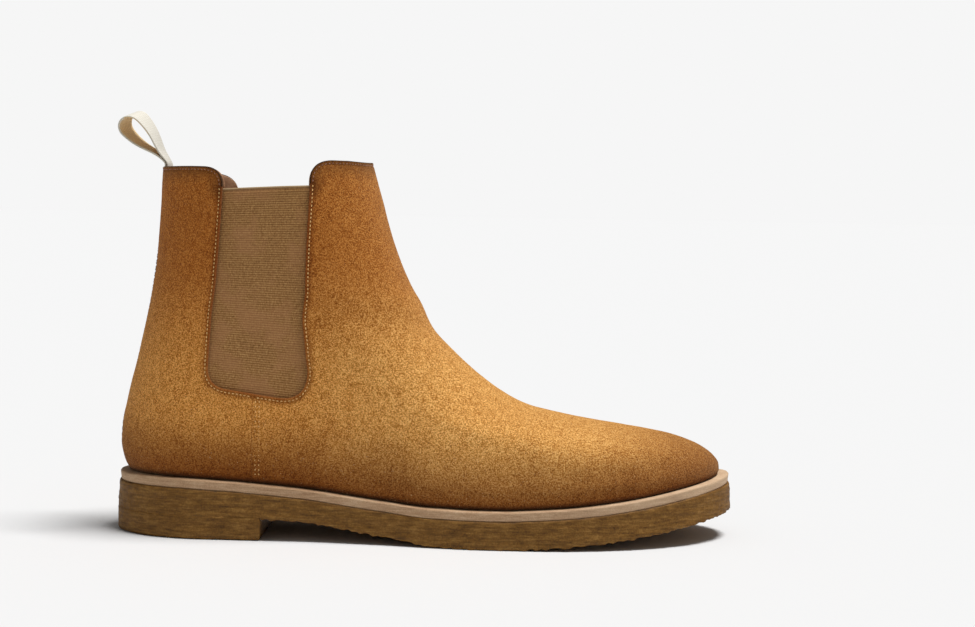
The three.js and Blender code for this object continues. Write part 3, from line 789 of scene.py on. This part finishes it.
def thread_finish(name, dark, light):
    """Twisted thread, dark between its plies."""
    m = Finish(name, light, Roughness=0.6, Sheen_Weight=0.15, Specular_IOR_Level=0.35)
    ply = m.spots(0.3, 2, 0.5)
    m.bump(ply, 0.06, 0.7)
    return m.done(m.ramp(ply, (0.35, dark), (0.6, light)))


def grain_finish(name, dark, light, size, roughness, metallic=0.0):
    """Pressed or cast stuff: speckled, with a fine matching relief."""
    m = Finish(name, light, Roughness=roughness, Metallic=metallic)
    grain = m.spots(size, 4, 0.65)
    patches = m.spots(size * 9, 2, 0.5)
    tone = m.total((grain, 0.65), (patches, 0.35))
    m.bump(grain, 0.2, 0.4)
    return m.done(m.ramp(tone, (0.38, dark), (0.62, light)))


def webbing_finish(name, dark, light):
    """Cotton twill, dark between its ribs."""
    m = Finish(name, light, Roughness=0.8, Sheen_Weight=0.2, Sheen_Roughness=0.5,
               Specular_IOR_Level=0.2)
    rib = m.read("rib")
    fuzz = m.spots(0.45, 3, 0.65)
    tone = m.total((rib, 0.5), (fuzz, 0.5))
    m.bump(fuzz, 0.12, 0.6)
    return m.done(m.ramp(tone, (0.25, dark), (0.7, light)))


SUEDE_MAT = suede_finish()
ELASTIC_MAT = elastic_finish()
CREPE_MAT = crepe_finish()
MIDSOLE_MAT = midsole_finish()
LINING_MAT = leather_finish("lining_leather", (0.33, 0.155, 0.075), (0.52, 0.29, 0.16))
THREAD_MAT = thread_finish("gold_thread", (0.6, 0.31, 0.08), (1.0, 0.66, 0.26))
DARK_THREAD_MAT = thread_finish("brown_thread", (0.03, 0.012, 0.006), (0.1, 0.04, 0.02))
ROSE_THREAD_MAT = thread_finish("rose_thread", (0.2, 0.08, 0.05), (0.42, 0.22, 0.15))
WEBBING_MAT = webbing_finish("webbing", (0.62, 0.57, 0.46), (0.92, 0.89, 0.81))
# golden copy of the webbing for the loop's eye: painted shade and warm reflected light
WEBBING_SHADE_MAT = webbing_finish("webbing_painted_shade", (0.66, 0.46, 0.22), (0.96, 0.76, 0.46))

CAD_FINISHES = {
    "toe_puff": grain_finish("puff_stiffener", (0.5, 0.46, 0.38), (0.72, 0.68, 0.58), 0.8, 0.8),
    "heel_counter": grain_finish("fibre_board", (0.3, 0.2, 0.11), (0.5, 0.37, 0.24), 0.7, 0.9),
    "insole_board": grain_finish("insole_fibre", (0.28, 0.19, 0.1), (0.46, 0.34, 0.21), 0.7, 0.9),
    "bottom_filler": grain_finish("cork_filler", (0.2, 0.11, 0.05), (0.46, 0.29, 0.15), 1.8, 0.95),
    "shank": grain_finish("spring_steel", (0.28, 0.3, 0.32), (0.5, 0.52, 0.55), 0.5, 0.35, 1.0),
}
for tape in ("back_seam_tape", "front_topline_tape", "outer_rear_topline_tape",
             "inner_rear_topline_tape"):
    CAD_FINISHES[tape] = woven_finish("cotton_" + tape, (0.2, 0.1, 0.035), (0.38, 0.22, 0.1))
for node, material in CAD_FINISHES.items():
    slots = frame["nodes"][node].material_slots
    if not slots:
        frame["nodes"][node].data.materials.append(material)
    for slot in slots:
        slot.material = material


# ---- suede and lining
def groove(distance, middle, width):
    """1 along the middle of a groove, falling off to its sides."""
    return np.exp(-(((distance - middle) / width) ** 2))


def suede_relief(laps_over):
    """Relief of the panel that laps over the other at the side seam, or of the one below."""

    def relief(v, to, place):
        """How far each point of the outside face is lowered, in mm."""
        stitched = np.minimum(to["gore"], to["collar"])
        lowered = 0.42 * groove(stitched, STITCH_INSET + 0.15, 0.55)
        lowered -= 0.16 * groove(stitched, 0.8, 0.4)
        seam = np.clip(1 - to["seam"] / 7, 0, 1)
        step = 0.06 * seam * seam * (3 - 2 * seam) * np.clip((v - 1) / 8, 0, 1)
        if laps_over:
            lowered -= step
            for inset in SEAM_ROWS:
                lowered += 0.15 * groove(to["seam"], inset, 0.5)
        else:
            lowered += step + 0.35 * np.clip(1.5 - to["seam"], 0, 1)
        lowered += 0.7 * np.clip(1 - to["back"] / 2.6, 0, 1) ** 2
        free = np.clip(np.minimum(v, stitched) / 8, 0, 1)
        lowered -= free * (0.45 * spots(place, 30, 3.1) + 0.16 * spots(place, 9, 7.7))
        nap = np.clip(np.minimum(v, stitched) / 2, 0, 1)
        return lowered - nap * 0.05 * spots(place, 2.1, 1.3)

    return relief


def lining_loop():
    """The rear lining's outline, one piece round the heel from side to side."""
    parts = [part for part in quarter_loop(INNER, LINING_DROP) if part[0] not in ("back", "hem")]
    turned = [(kind, path[::-1] + [2 * math.pi, 0])
              for kind, path in reversed(quarter_loop(OUTER, LINING_DROP))
              if kind not in ("back", "hem")]
    middle = [(parts[-1][1][-1] + turned[0][1][0]) / 2]
    parts[-1] = ("collar", np.vstack([parts[-1][1], middle]))
    turned[0] = ("collar", np.vstack([middle, turned[0][1]]))
    hem = np.array([turned[-1][1][-1], parts[0][1][0]])
    return [*parts, *turned, ("hem", hem)]


panel("front_panel_suede", front_loop(), 0, SUEDE, suede_relief(True), SUEDE_MAT,
      ["front_panel"])
for side, name in ((OUTER, "outer"), (INNER, "inner")):
    panel(name + "_rear_quarter_suede", quarter_loop(side), 0, SUEDE, suede_relief(False),
          SUEDE_MAT, [name + "_rear_quarter"])
for end, loop in (("front", front_loop(LINING_DROP)), ("rear", lining_loop())):
    panel(end + "_lining_leather", loop, LINING_DEPTH, LINING, None, LINING_MAT,
          [end + "_lining"], spacing=3.4, rows=())


# ---- gores
GORE_RIBS = 98


def gore(side, name, steps=4, columns=30):
    """Ribbed elastic under the edges of its window, with a folded hem along the top."""
    q = np.linspace(0, 1, GORE_RIBS * steps + 1)[:, None]
    s = np.linspace(0, 1, columns + 1)[None]
    low = GORE_FOOT_REAR - GORE_UNDERLAP + (GORE_FOOT_FRONT - GORE_FOOT_REAR) * s
    high = GORE_TOP - GORE_TOP_SLOPE * (1 - s)
    z = low + (high - low) * q
    rear, ahead = gore_rear_x(z, GORE_UNDERLAP), gore_front_x(GORE_UNDERLAP)
    x = rear + (ahead - rear) * s
    wall = to_wall(np.stack([x.ravel(), z.ravel()], -1), side)
    rib = np.repeat(0.5 + 0.5 * np.cos(2 * math.pi * GORE_RIBS * q[:, 0]), columns + 1)
    place = skin(wall)
    from_top = (high - z).ravel()
    hem = from_top < GORE_HEM
    fold = np.sqrt(np.clip(1 - (from_top / (GORE_HEM / 2) - 1) ** 2, 0, 1))
    wave = 0.2 * spots(place, 13, 5.5) + 0.05 * spots(place, (1.4, 1.4, 0.8), 2.2)
    relief = np.where(hem, 0.03, 0.08) * (rib - 1)
    face = skin(wall, MIDDLE_DEPTH + 0.1 - relief - np.where(hem, 0.3 * fold, 0) - wave)
    back = skin(wall, MIDDLE_DEPTH + MIDDLE + relief - wave)
    grid = np.arange(z.size).reshape(z.shape)
    squares = (grid[:-1, :-1], grid[:-1, 1:], grid[1:, 1:], grid[1:, :-1])
    squares = np.stack([corner.ravel() for corner in squares], -1)
    rim = np.array([*grid[0], *grid[1:, -1], *grid[-1, -2::-1], *grid[-2:0:-1, 0]])
    after = np.roll(rim, -1)
    sides = np.stack([rim, z.size + rim, z.size + after, after], -1)
    faces = np.vstack([squares, z.size + squares[:, [0, 3, 2, 1]], sides])
    pale = np.clip(1.5 - from_top / (GORE_HEM / 2), 0, 1)
    values = {"rib": np.tile(rib, 2), "hem": np.tile(pale, 2)}
    make(name + "_gore_elastic", np.vstack([face, back]), faces, ELASTIC_MAT,
         replaces=[name + "_gore"], attributes=values)


gore(OUTER, "outer")
gore(INNER, "inner")


# ---- thread
def threads(name, places, tangents, normals, material, width, lengths=STITCH, dive=0.5, lift=0.1,
            sides=7):
    """Short arched lengths of thread whose ends dip under the surface."""
    along = np.array([-0.5, -0.44, -0.25, 0, 0.25, 0.44, 0.5])
    radius = np.array([0.35, 0.75, 1, 1, 1, 0.75, 0.35])
    turn = np.linspace(0, 2 * math.pi, sides, endpoint=False)
    tangents, normals = unit(tangents), unit(normals)
    across = unit(np.cross(normals, tangents))
    lengths = np.broadcast_to(lengths, len(places))
    points, faces = [], []
    for i, centre in enumerate(places):
        ring = np.cos(turn)[:, None] * across[i] + np.sin(turn)[:, None] * normals[i]
        for a, r in zip(along, radius):
            height = lift - dive * (2 * a) ** 2
            spine = centre + tangents[i] * a * lengths[i] + normals[i] * height
            points.append(spine + ring * r * width / 2)
        faces += strip(sides, len(along), start=i * sides * len(along))
    return make(name, np.vstack(points), faces, material)


def along_rows(rows, pitch, sunk):
    """Places, tangents and normals of stitches along (turn, v) paths."""
    places, tangents, normals = [], [], []
    for row in rows:
        at = resampled(row, pitch)
        middle = (at[1:] + at[:-1]) / 2
        places.append(skin(middle, sunk))
        tangents.append(np.diff(skin(at, sunk), axis=0))
        normals.append(surface_normal(middle[:, 0], middle[:, 1]))
    return np.vstack(places), np.vstack(tangents), np.vstack(normals)


def row_beside(loop, wanted):
    """Runs of a stitch row inside a loop, beside one kind of its edges."""
    ring, kinds = joined(loop, 0.7)
    moved = moved_in(ring, STITCH_INSET)
    far, closest = near(skin(moved), skin(ring))
    keep = (far > STITCH_INSET - 0.12) & (kinds[closest] == wanted)
    runs, run = [], []
    first = int(np.argmin(keep))
    for i in [*range(first, len(keep)), *range(first)]:
        if keep[i]:
            run.append(moved[i])
        elif run:
            runs.append(np.array(run))
            run = []
    if run:
        runs.append(np.array(run))
    return [r for r in runs if len(r) > 4]


for name, loop in (("front", front_loop()), ("outer_rear", quarter_loop(OUTER)),
                   ("inner_rear", quarter_loop(INNER))):
    for kind, material, width in (("gore", THREAD_MAT, 0.55), ("collar", ROSE_THREAD_MAT, 0.5)):
        stitches = along_rows(row_beside(loop, kind), STITCH_PITCH, STITCH_SUNK)
        threads(f"{name}_{kind}_stitching", *stitches, material, width)


def seam_stitching(side, name):
    """Double row down the front panel's lap, from under the gore to the welt."""
    top, bottom = foot_z(SEAM_X) - 2.6, float(seat_z(SEAM_X)) + 3.4
    rows = [upright(SEAM_X + inset, np.linspace(top, bottom, 30), side) for inset in SEAM_ROWS]
    stitches = along_rows(rows, SIDE_STITCH_PITCH, 0.12)
    threads(name + "_side_seam_stitching", *stitches, THREAD_MAT, 0.5, SIDE_STITCH)


seam_stitching(OUTER, "outer")
seam_stitching(INNER, "inner")


def back_stitching():
    """Zigzag that closes the back seam, from the collar to the feather edge."""
    v = np.arange(BACK_STITCH_FROM, BACK_STITCH_TO, BACK_STITCH_RISE)
    left, right = (surface(np.full(len(v), turn), v, 0.25)
                   for turn in (math.pi - BACK_STITCH_TURN, BACK_STITCH_TURN - math.pi))
    ends = np.where((np.arange(len(v)) % 2 == 0)[:, None], left, right)
    normal = surface_normal(np.full(len(v) - 1, math.pi), (v[1:] + v[:-1]) / 2)
    place, tangent = (ends[1:] + ends[:-1]) / 2, ends[1:] - ends[:-1]
    lengths = np.linalg.norm(tangent, axis=1) + 0.5
    threads("back_seam_stitching", place, tangent, normal, DARK_THREAD_MAT, 0.6, lengths,
            dive=0.35, lift=0.35)


back_stitching()


# ---- bottom
TURNS = np.linspace(0, 2 * math.pi, 1440, endpoint=False)


def even_ring(points, spacing):
    """Closed ring of x and y, evenly spaced."""
    around = np.vstack([points, points[:1]])
    length = length_along(around)
    at = np.linspace(0, length[-1], int(length[-1] / spacing), endpoint=False)
    return read_along(around, length, at)


def outward(ring):
    along = np.roll(ring, -1, axis=0) - np.roll(ring, 1, axis=0)
    return unit(np.stack([along[:, 1], -along[:, 0]], -1))


def filled(ring, spacing):
    """Points inside a ring of x and y, in staggered rows, clear of the ring."""
    low, high = ring.min(0), ring.max(0)
    rows = []
    for i, y in enumerate(np.arange(low[1], high[1], spacing * 0.87)):
        x = np.arange(low[0] + spacing * 0.5 * (i % 2), high[0], spacing)
        rows.append(np.stack([x, np.full(len(x), y)], -1))
    points = np.vstack(rows)
    points = points[inside(points, ring)]
    flat = np.c_[ring, np.zeros(len(ring))]
    distance, _ = near(np.c_[points, np.zeros(len(points))], flat)
    return points[distance > spacing * 0.6]


def plate(name, low, grow_top, z_low, z_high, levels, material, replaces, edge_rounds,
          side_relief=None, face_relief=None, low_spacing=6.0, top_spacing=8.0):
    """Slab with a low outline, rounded edges, and reliefs on its side and its underside."""
    out = outward(low)
    count = len(low)
    share = np.linspace(0, 1, levels)
    rings = []
    height = float(np.mean(z_high(low[:, 0]) - z_low(low[:, 0])))
    for s in share:
        cut = 0
        for from_edge, radius in zip((s * height, (1 - s) * height), edge_rounds):
            cut += radius - math.sqrt(radius**2 - max(0, radius - from_edge) ** 2)
        xy = low + out * (grow_top * s - cut)
        z = z_low(low[:, 0]) * (1 - s) + z_high(low[:, 0]) * s
        rings.append(np.c_[xy, z])
    side = np.vstack(rings)
    if side_relief:
        push, drop = side_relief(side, np.repeat(share, count))
        side[:, :2] += np.tile(out, (levels, 1)) * push[:, None]
        side[:, 2] += drop
    faces = [f[::-1] for f in strip(count, levels, False)]
    points = [side]
    total = len(side)
    for ring, spacing, height_at, relief, up in (
        (side[:count], low_spacing, z_low, face_relief, False),
        (side[-count:], top_spacing, z_high, None, True),
    ):
        extra = filled(ring[:, :2], spacing)
        z = height_at(extra[:, 0])
        if relief:
            z = z + relief(np.c_[extra, z])
        own = np.arange(count) + ((levels - 1) * count if up else 0)
        index = np.concatenate([own, total + np.arange(len(extra))])
        found = triangles_in(ring[:, :2], extra)
        faces += [tuple(index[i] for i in (f if up else f[::-1])) for f in found]
        points.append(np.c_[extra, z])
        total += len(extra)
    return make(name, np.vstack(points), faces, material, replaces=replaces)


def crepe_side(edge_drop, from_x):
    def relief(points, share):
        """Layered streaks round the side, and a ragged lower edge."""
        push = 0.28 * spots(points, (22, 22, 1.7), 4.4) + 0.16 * spots(points, 2.2, 9.1)
        push += 0.35 * spots(points, (30, 30, 9), 6.0)
        ragged = np.clip(1 - share * 7, 0, 1) * (points[:, 0] > from_x)
        chips = np.clip(spots(points * [1, 1, 0], 3.1, 2.0) * 1.6 + 0.1, -0.4, 1)
        push += ragged * (0.55 * chips - 0.2)
        drop = ragged * (edge_drop * chips + 0.3)
        return push, drop

    return relief


def pebbles(points):
    """Cobbled underside of crepe rubber, always a little above the tread plane."""
    flat = [Vector((x / 3.4, y / 3.4, 0.0)) for x, y, _ in points]
    cell = np.array([noise.voronoi(p)[0][0] for p in flat])
    return np.clip(cell, 0, 0.8) * 1.1


def slab_bottom(x):
    return np.where(x < HEEL_BREAST, HEEL_LIFT, tread_z(x))


def heel_outline(ring):
    """The part of a ring behind the heel's breast, closed by a straight line across."""
    heel = ring[ring[:, 0] < HEEL_BREAST]
    gap = int(np.argmax(np.linalg.norm(np.roll(heel, -1, axis=0) - heel, axis=1)))
    heel = np.roll(heel, -gap - 1, axis=0)
    breast = np.linspace(heel[-1], heel[0], 70)[1:-1]
    return even_ring(np.vstack([heel, breast]), CREPE_SPACING)


CREPE_SPACING = 0.9  # of the mesh's points round the crepe
TREAD_SPACING = 1.25  # and on its tread
slab_ring = even_ring(foot_point(TURNS, WELT + FLARE), CREPE_SPACING)
plate("outsole_crepe", slab_ring, 0.3 - FLARE, slab_bottom, crepe_top_z, 17, CREPE_MAT,
      ["outsole"], (0.08, 0.22), crepe_side(-0.5, HEEL_BREAST + 1), pebbles, TREAD_SPACING)
plate("heel_lift_crepe", heel_outline(slab_ring), 0, lambda x: 0 * x,
      lambda x: 0 * x + HEEL_LIFT - 0.02, 12, CREPE_MAT, ["heel_lift"], (0.3, 0.05),
      crepe_side(0.6, -200), pebbles, TREAD_SPACING)
plate("midsole_leather_slab", even_ring(foot_point(TURNS, WELT - 0.4), 1.2), 0.4,
      lambda x: crepe_top_z(x) + 0.06, seat_z, 9, MIDSOLE_MAT, ["midsole"],
      (0.35, 0.5), lambda p, s: (0.12 * spots(p, (14, 14, 2), 3.3), 0 * s))


SOCK_RISE = 8.1
SOCK = 1.0


def sock_ring():
    """Where the inside of the lining passes the underside of the sock."""
    depth = LINING_DEPTH + LINING + 0.8
    low, high = np.zeros(len(TURNS)), np.full(len(TURNS), 4 * SOCK_RISE)
    for _ in range(24):
        h = (low + high) / 2
        point = wall_point(TURNS, h) - depth * wall_normal(TURNS, h)
        under = point[:, 2] - seat_z(point[:, 0]) < SOCK_RISE
        low, high = np.where(under, h, low), np.where(under, high, h)
    return (wall_point(TURNS, high) - depth * wall_normal(TURNS, high))[:, :2]


plate("sock_liner_leather", even_ring(sock_ring(), 2.0), 0, lambda x: seat_z(x) + SOCK_RISE,
      lambda x: seat_z(x) + SOCK_RISE + SOCK, 4, LINING_MAT, ["sock_liner"],
      (0.3, 0.3))


# ---- pull loop
WEBBING_WIDTH = 16
WEBBING = 0.9  # its thickness in the tails
WEBBING_RIBS = 9
TWILL_PITCH = 1.3
LOOP_RADIUS = 5.4
LOOP_REACH = 31
LOOP_FOOT = 0.6  # each leg off the loop's middle line, where it leaves the collar
LOOP_LEAN = math.radians(43)
LOOP_TAIL = 30
TAIL_APART = 0.5  # each tail off their middle line
LOOP_TWIST = math.radians(19)
LOOP_UP = np.array([-math.sin(LOOP_LEAN), 0, math.cos(LOOP_LEAN)])
LOOP_AHEAD = np.array([math.cos(LOOP_LEAN), 0, math.sin(LOOP_LEAN)])
tilt = next(j for j in frame["record"]["behaviour"]["joints"] if j["name"] == "pull_loop_tilt")
hinge = np.array(tilt["pos_m"]) / MM


def bezier(a, b, c, d, steps=16):
    t = np.linspace(0, 1, steps, endpoint=False)[:, None]
    a, b, c, d = (np.array(p, float) for p in (a, b, c, d))
    return a * (1 - t) ** 3 + 3 * b * t * (1 - t) ** 2 + 3 * c * t * t * (1 - t) + d * t**3


def loop_path():
    """Middle line of the webbing from tail to tail, in x and z from the hinge."""
    top = LOOP_REACH - 6
    leg = bezier((LOOP_FOOT, 3), (LOOP_FOOT + 0.3, 10), (LOOP_RADIUS, top - 11), (LOOP_RADIUS, top))
    arc = np.linspace(0, math.pi, 26)
    cap = np.stack([LOOP_RADIUS * np.cos(arc), top + LOOP_RADIUS * np.sin(arc)], -1)
    upper = np.vstack([leg, cap, (leg * [-1, 1])[::-1]])
    upper = upper @ np.array([LOOP_AHEAD[[0, 2]], LOOP_UP[[0, 2]]])
    down = np.linspace(-LOOP_TAIL, -0.5, 34)
    v = hinge[2] + down - float(seat_z(BACK_SEAM_X)) - GAP
    wall = surface(np.full(len(v), math.pi), v, 0)
    offset = wall[:, 0] - wall[-1, 0]
    front_tail = np.stack([offset + TAIL_APART, down], -1)
    rear_tail = np.stack([offset - TAIL_APART, down], -1)
    return np.vstack([front_tail, upper, rear_tail[::-1]])


def twisted(points):
    """The loop's points turned about its own long axis, more and more up to the round end."""
    local = points - hinge
    up, across, y = local @ LOOP_UP, local @ LOOP_AHEAD, local[:, 1]
    angle = LOOP_TWIST * np.clip(up / LOOP_REACH, 0, 1)
    cos, sin = np.cos(angle)[:, None], np.sin(angle)[:, None]
    across, y, up = across[:, None], y[:, None], up[:, None]
    turned = up * LOOP_UP + (across * cos + y * sin) * LOOP_AHEAD
    turned += (y * cos - across * sin) * [0, 1, 0]
    return np.where(up > 0, hinge + turned, points)


def smoothed(path, spacing):
    """A path's middle line, evenly spaced and relaxed, and the lengths along it."""
    length = length_along(path)
    at = np.linspace(0, length[-1], int(length[-1] / spacing))
    path = read_along(path, length, at)
    for _ in range(3):
        path[1:-1] = (path[:-2] + 2 * path[1:-1] + path[2:]) / 4
    return path, at


def paint_loop_eye_shade(loop):
    """Gives the faces that look into the loop's eye a golden copy of the webbing: painted shade and
    warm reflected light inside the loop.
    """
    loop.data.materials.append(WEBBING_SHADE_MAT)
    centre = Vector(hinge * MM) + Vector(LOOP_UP) * 0.021
    for face in loop.data.polygons:
        inward = Vector((centre.x - face.center.x, 0, centre.z - face.center.z))
        high = face.center.z > (hinge[2] + 3) * MM
        if high and face.normal.dot(inward) > 0 and abs(face.normal.y) < 0.6:
            face.material_index = 1


def webbing_loop():
    """Ribbed webbing round the loop and down its tails, sewn in between suede and lining."""
    path, at = smoothed(loop_path(), 0.55)
    tangent = unit(np.gradient(path, axis=0))
    normal = np.stack([-tangent[:, 1], tangent[:, 0]], -1)
    height = path[:, 1]
    thick = WEBBING + np.where(height < 0, 0, 0.25 * np.clip(height / 4, 0, 1))
    across = np.linspace(-1, 1, WEBBING_RIBS * 4 + 1)
    edge = np.sqrt(np.clip(1 - np.clip((np.abs(across) - 0.93) / 0.07, 0, 1) ** 2, 0, 1))
    wave = 0.5 + 0.5 * np.cos(across * WEBBING_RIBS * math.pi)
    points, rib = [], []
    for i in range(len(path)):
        twill = 0.5 + 0.5 * math.cos(2 * math.pi * at[i] / TWILL_PITCH)
        relief = 0.1 * wave + 0.07 * np.roll(wave, 2) * twill
        rise = (thick[i] / 2 - 0.16 + relief) * edge
        for sign, order in ((1, slice(0, -1)), (-1, slice(None, 0, -1))):
            up = sign * rise[order]
            points.append(np.stack([
                hinge[0] + path[i, 0] + normal[i, 0] * up,
                hinge[1] + across[order] * WEBBING_WIDTH / 2,
                hinge[2] + path[i, 1] + normal[i, 1] * up,
            ], -1))
            rib.append(wave[order] * (0.6 + 0.4 * twill))
    faces = strip(2 * (len(across) - 1), len(path))
    loop = make("pull_loop_webbing", twisted(np.vstack(points)), faces, WEBBING_MAT,
                body="loop", attributes={"rib": np.concatenate(rib)})
    paint_loop_eye_shade(loop)
    loop.parent = None  # the loop is left without a parent
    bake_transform(loop)
    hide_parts("pull_loop", "pull_loop_tails")


webbing_loop()

# ---- camera
EYE = Vector((0.0297, -0.95, 0.16))
PITCH = math.radians(3.03)
ROLL = math.radians(0.97)
LENS = 70.43
backward = Vector((0, -math.cos(PITCH), math.sin(PITCH)))
level = Vector((1, 0, 0))
upward = backward.cross(level)
right = math.cos(ROLL) * level + math.sin(ROLL) * upward
up = math.cos(ROLL) * upward - math.sin(ROLL) * level
camera = add("camera", bpy.data.cameras.new("camera"))
camera.data.lens = LENS
camera.data.sensor_width = 36
camera.data.clip_start, camera.data.clip_end = 0.01, 100
axes = Matrix((right, up, backward)).transposed().to_4x4()
camera.matrix_world = Matrix.Translation(EYE) @ axes
bpy.context.scene.camera = camera

# ---- studio
FLOOR_REACH = 60  # metres: so far that its edge lies on the horizon
floor_mesh = bpy.data.meshes.new("floor")
corners = [(x * FLOOR_REACH, y * FLOOR_REACH, 0) for x, y in ((-1, -1), (1, -1), (1, 1), (-1, 1))]
floor_mesh.from_pydata(corners, [], [(0, 1, 2, 3)])
pale = Finish("pale_floor", (0.72, 0.72, 0.72), Roughness=1, Specular_IOR_Level=0)
floor_mesh.materials.append(pale.material)
floor = add("floor", floor_mesh)


def sun(name, azimuth, elevation, strength, spread):
    """Soft light from a direction; azimuth 0 comes from the camera's side, 90 from the toe."""
    light = add(name, bpy.data.lights.new(name, "SUN"))
    light.data.energy = strength
    light.data.angle = math.radians(spread)
    a, e = math.radians(azimuth), math.radians(elevation)
    source = Vector((math.sin(a) * math.cos(e), -math.cos(a) * math.cos(e), math.sin(e)))
    light.rotation_mode = "QUATERNION"
    light.rotation_quaternion = source.to_track_quat("Z", "Y")


sun("overhead", 82, 75, 3.47, 20)

SKY = 0.22  # brightness of the sky as a light
BACKDROP = 0.922  # and as the camera sees it
world = bpy.data.worlds.new("studio")
bpy.context.scene.world = world
world.use_nodes = True
sky = world.node_tree.nodes["Background"]
sky.inputs["Color"].default_value = (1, 1, 1, 1)
seen = world.node_tree.nodes.new("ShaderNodeLightPath").outputs["Is Camera Ray"]
brightness = world.node_tree.nodes.new("ShaderNodeMapRange")
world.node_tree.links.new(seen, brightness.inputs["Value"])
brightness.inputs["To Min"].default_value = SKY
brightness.inputs["To Max"].default_value = BACKDROP
world.node_tree.links.new(brightness.outputs["Result"], sky.inputs["Strength"])
bpy.context.scene.view_settings.view_transform = "Standard"
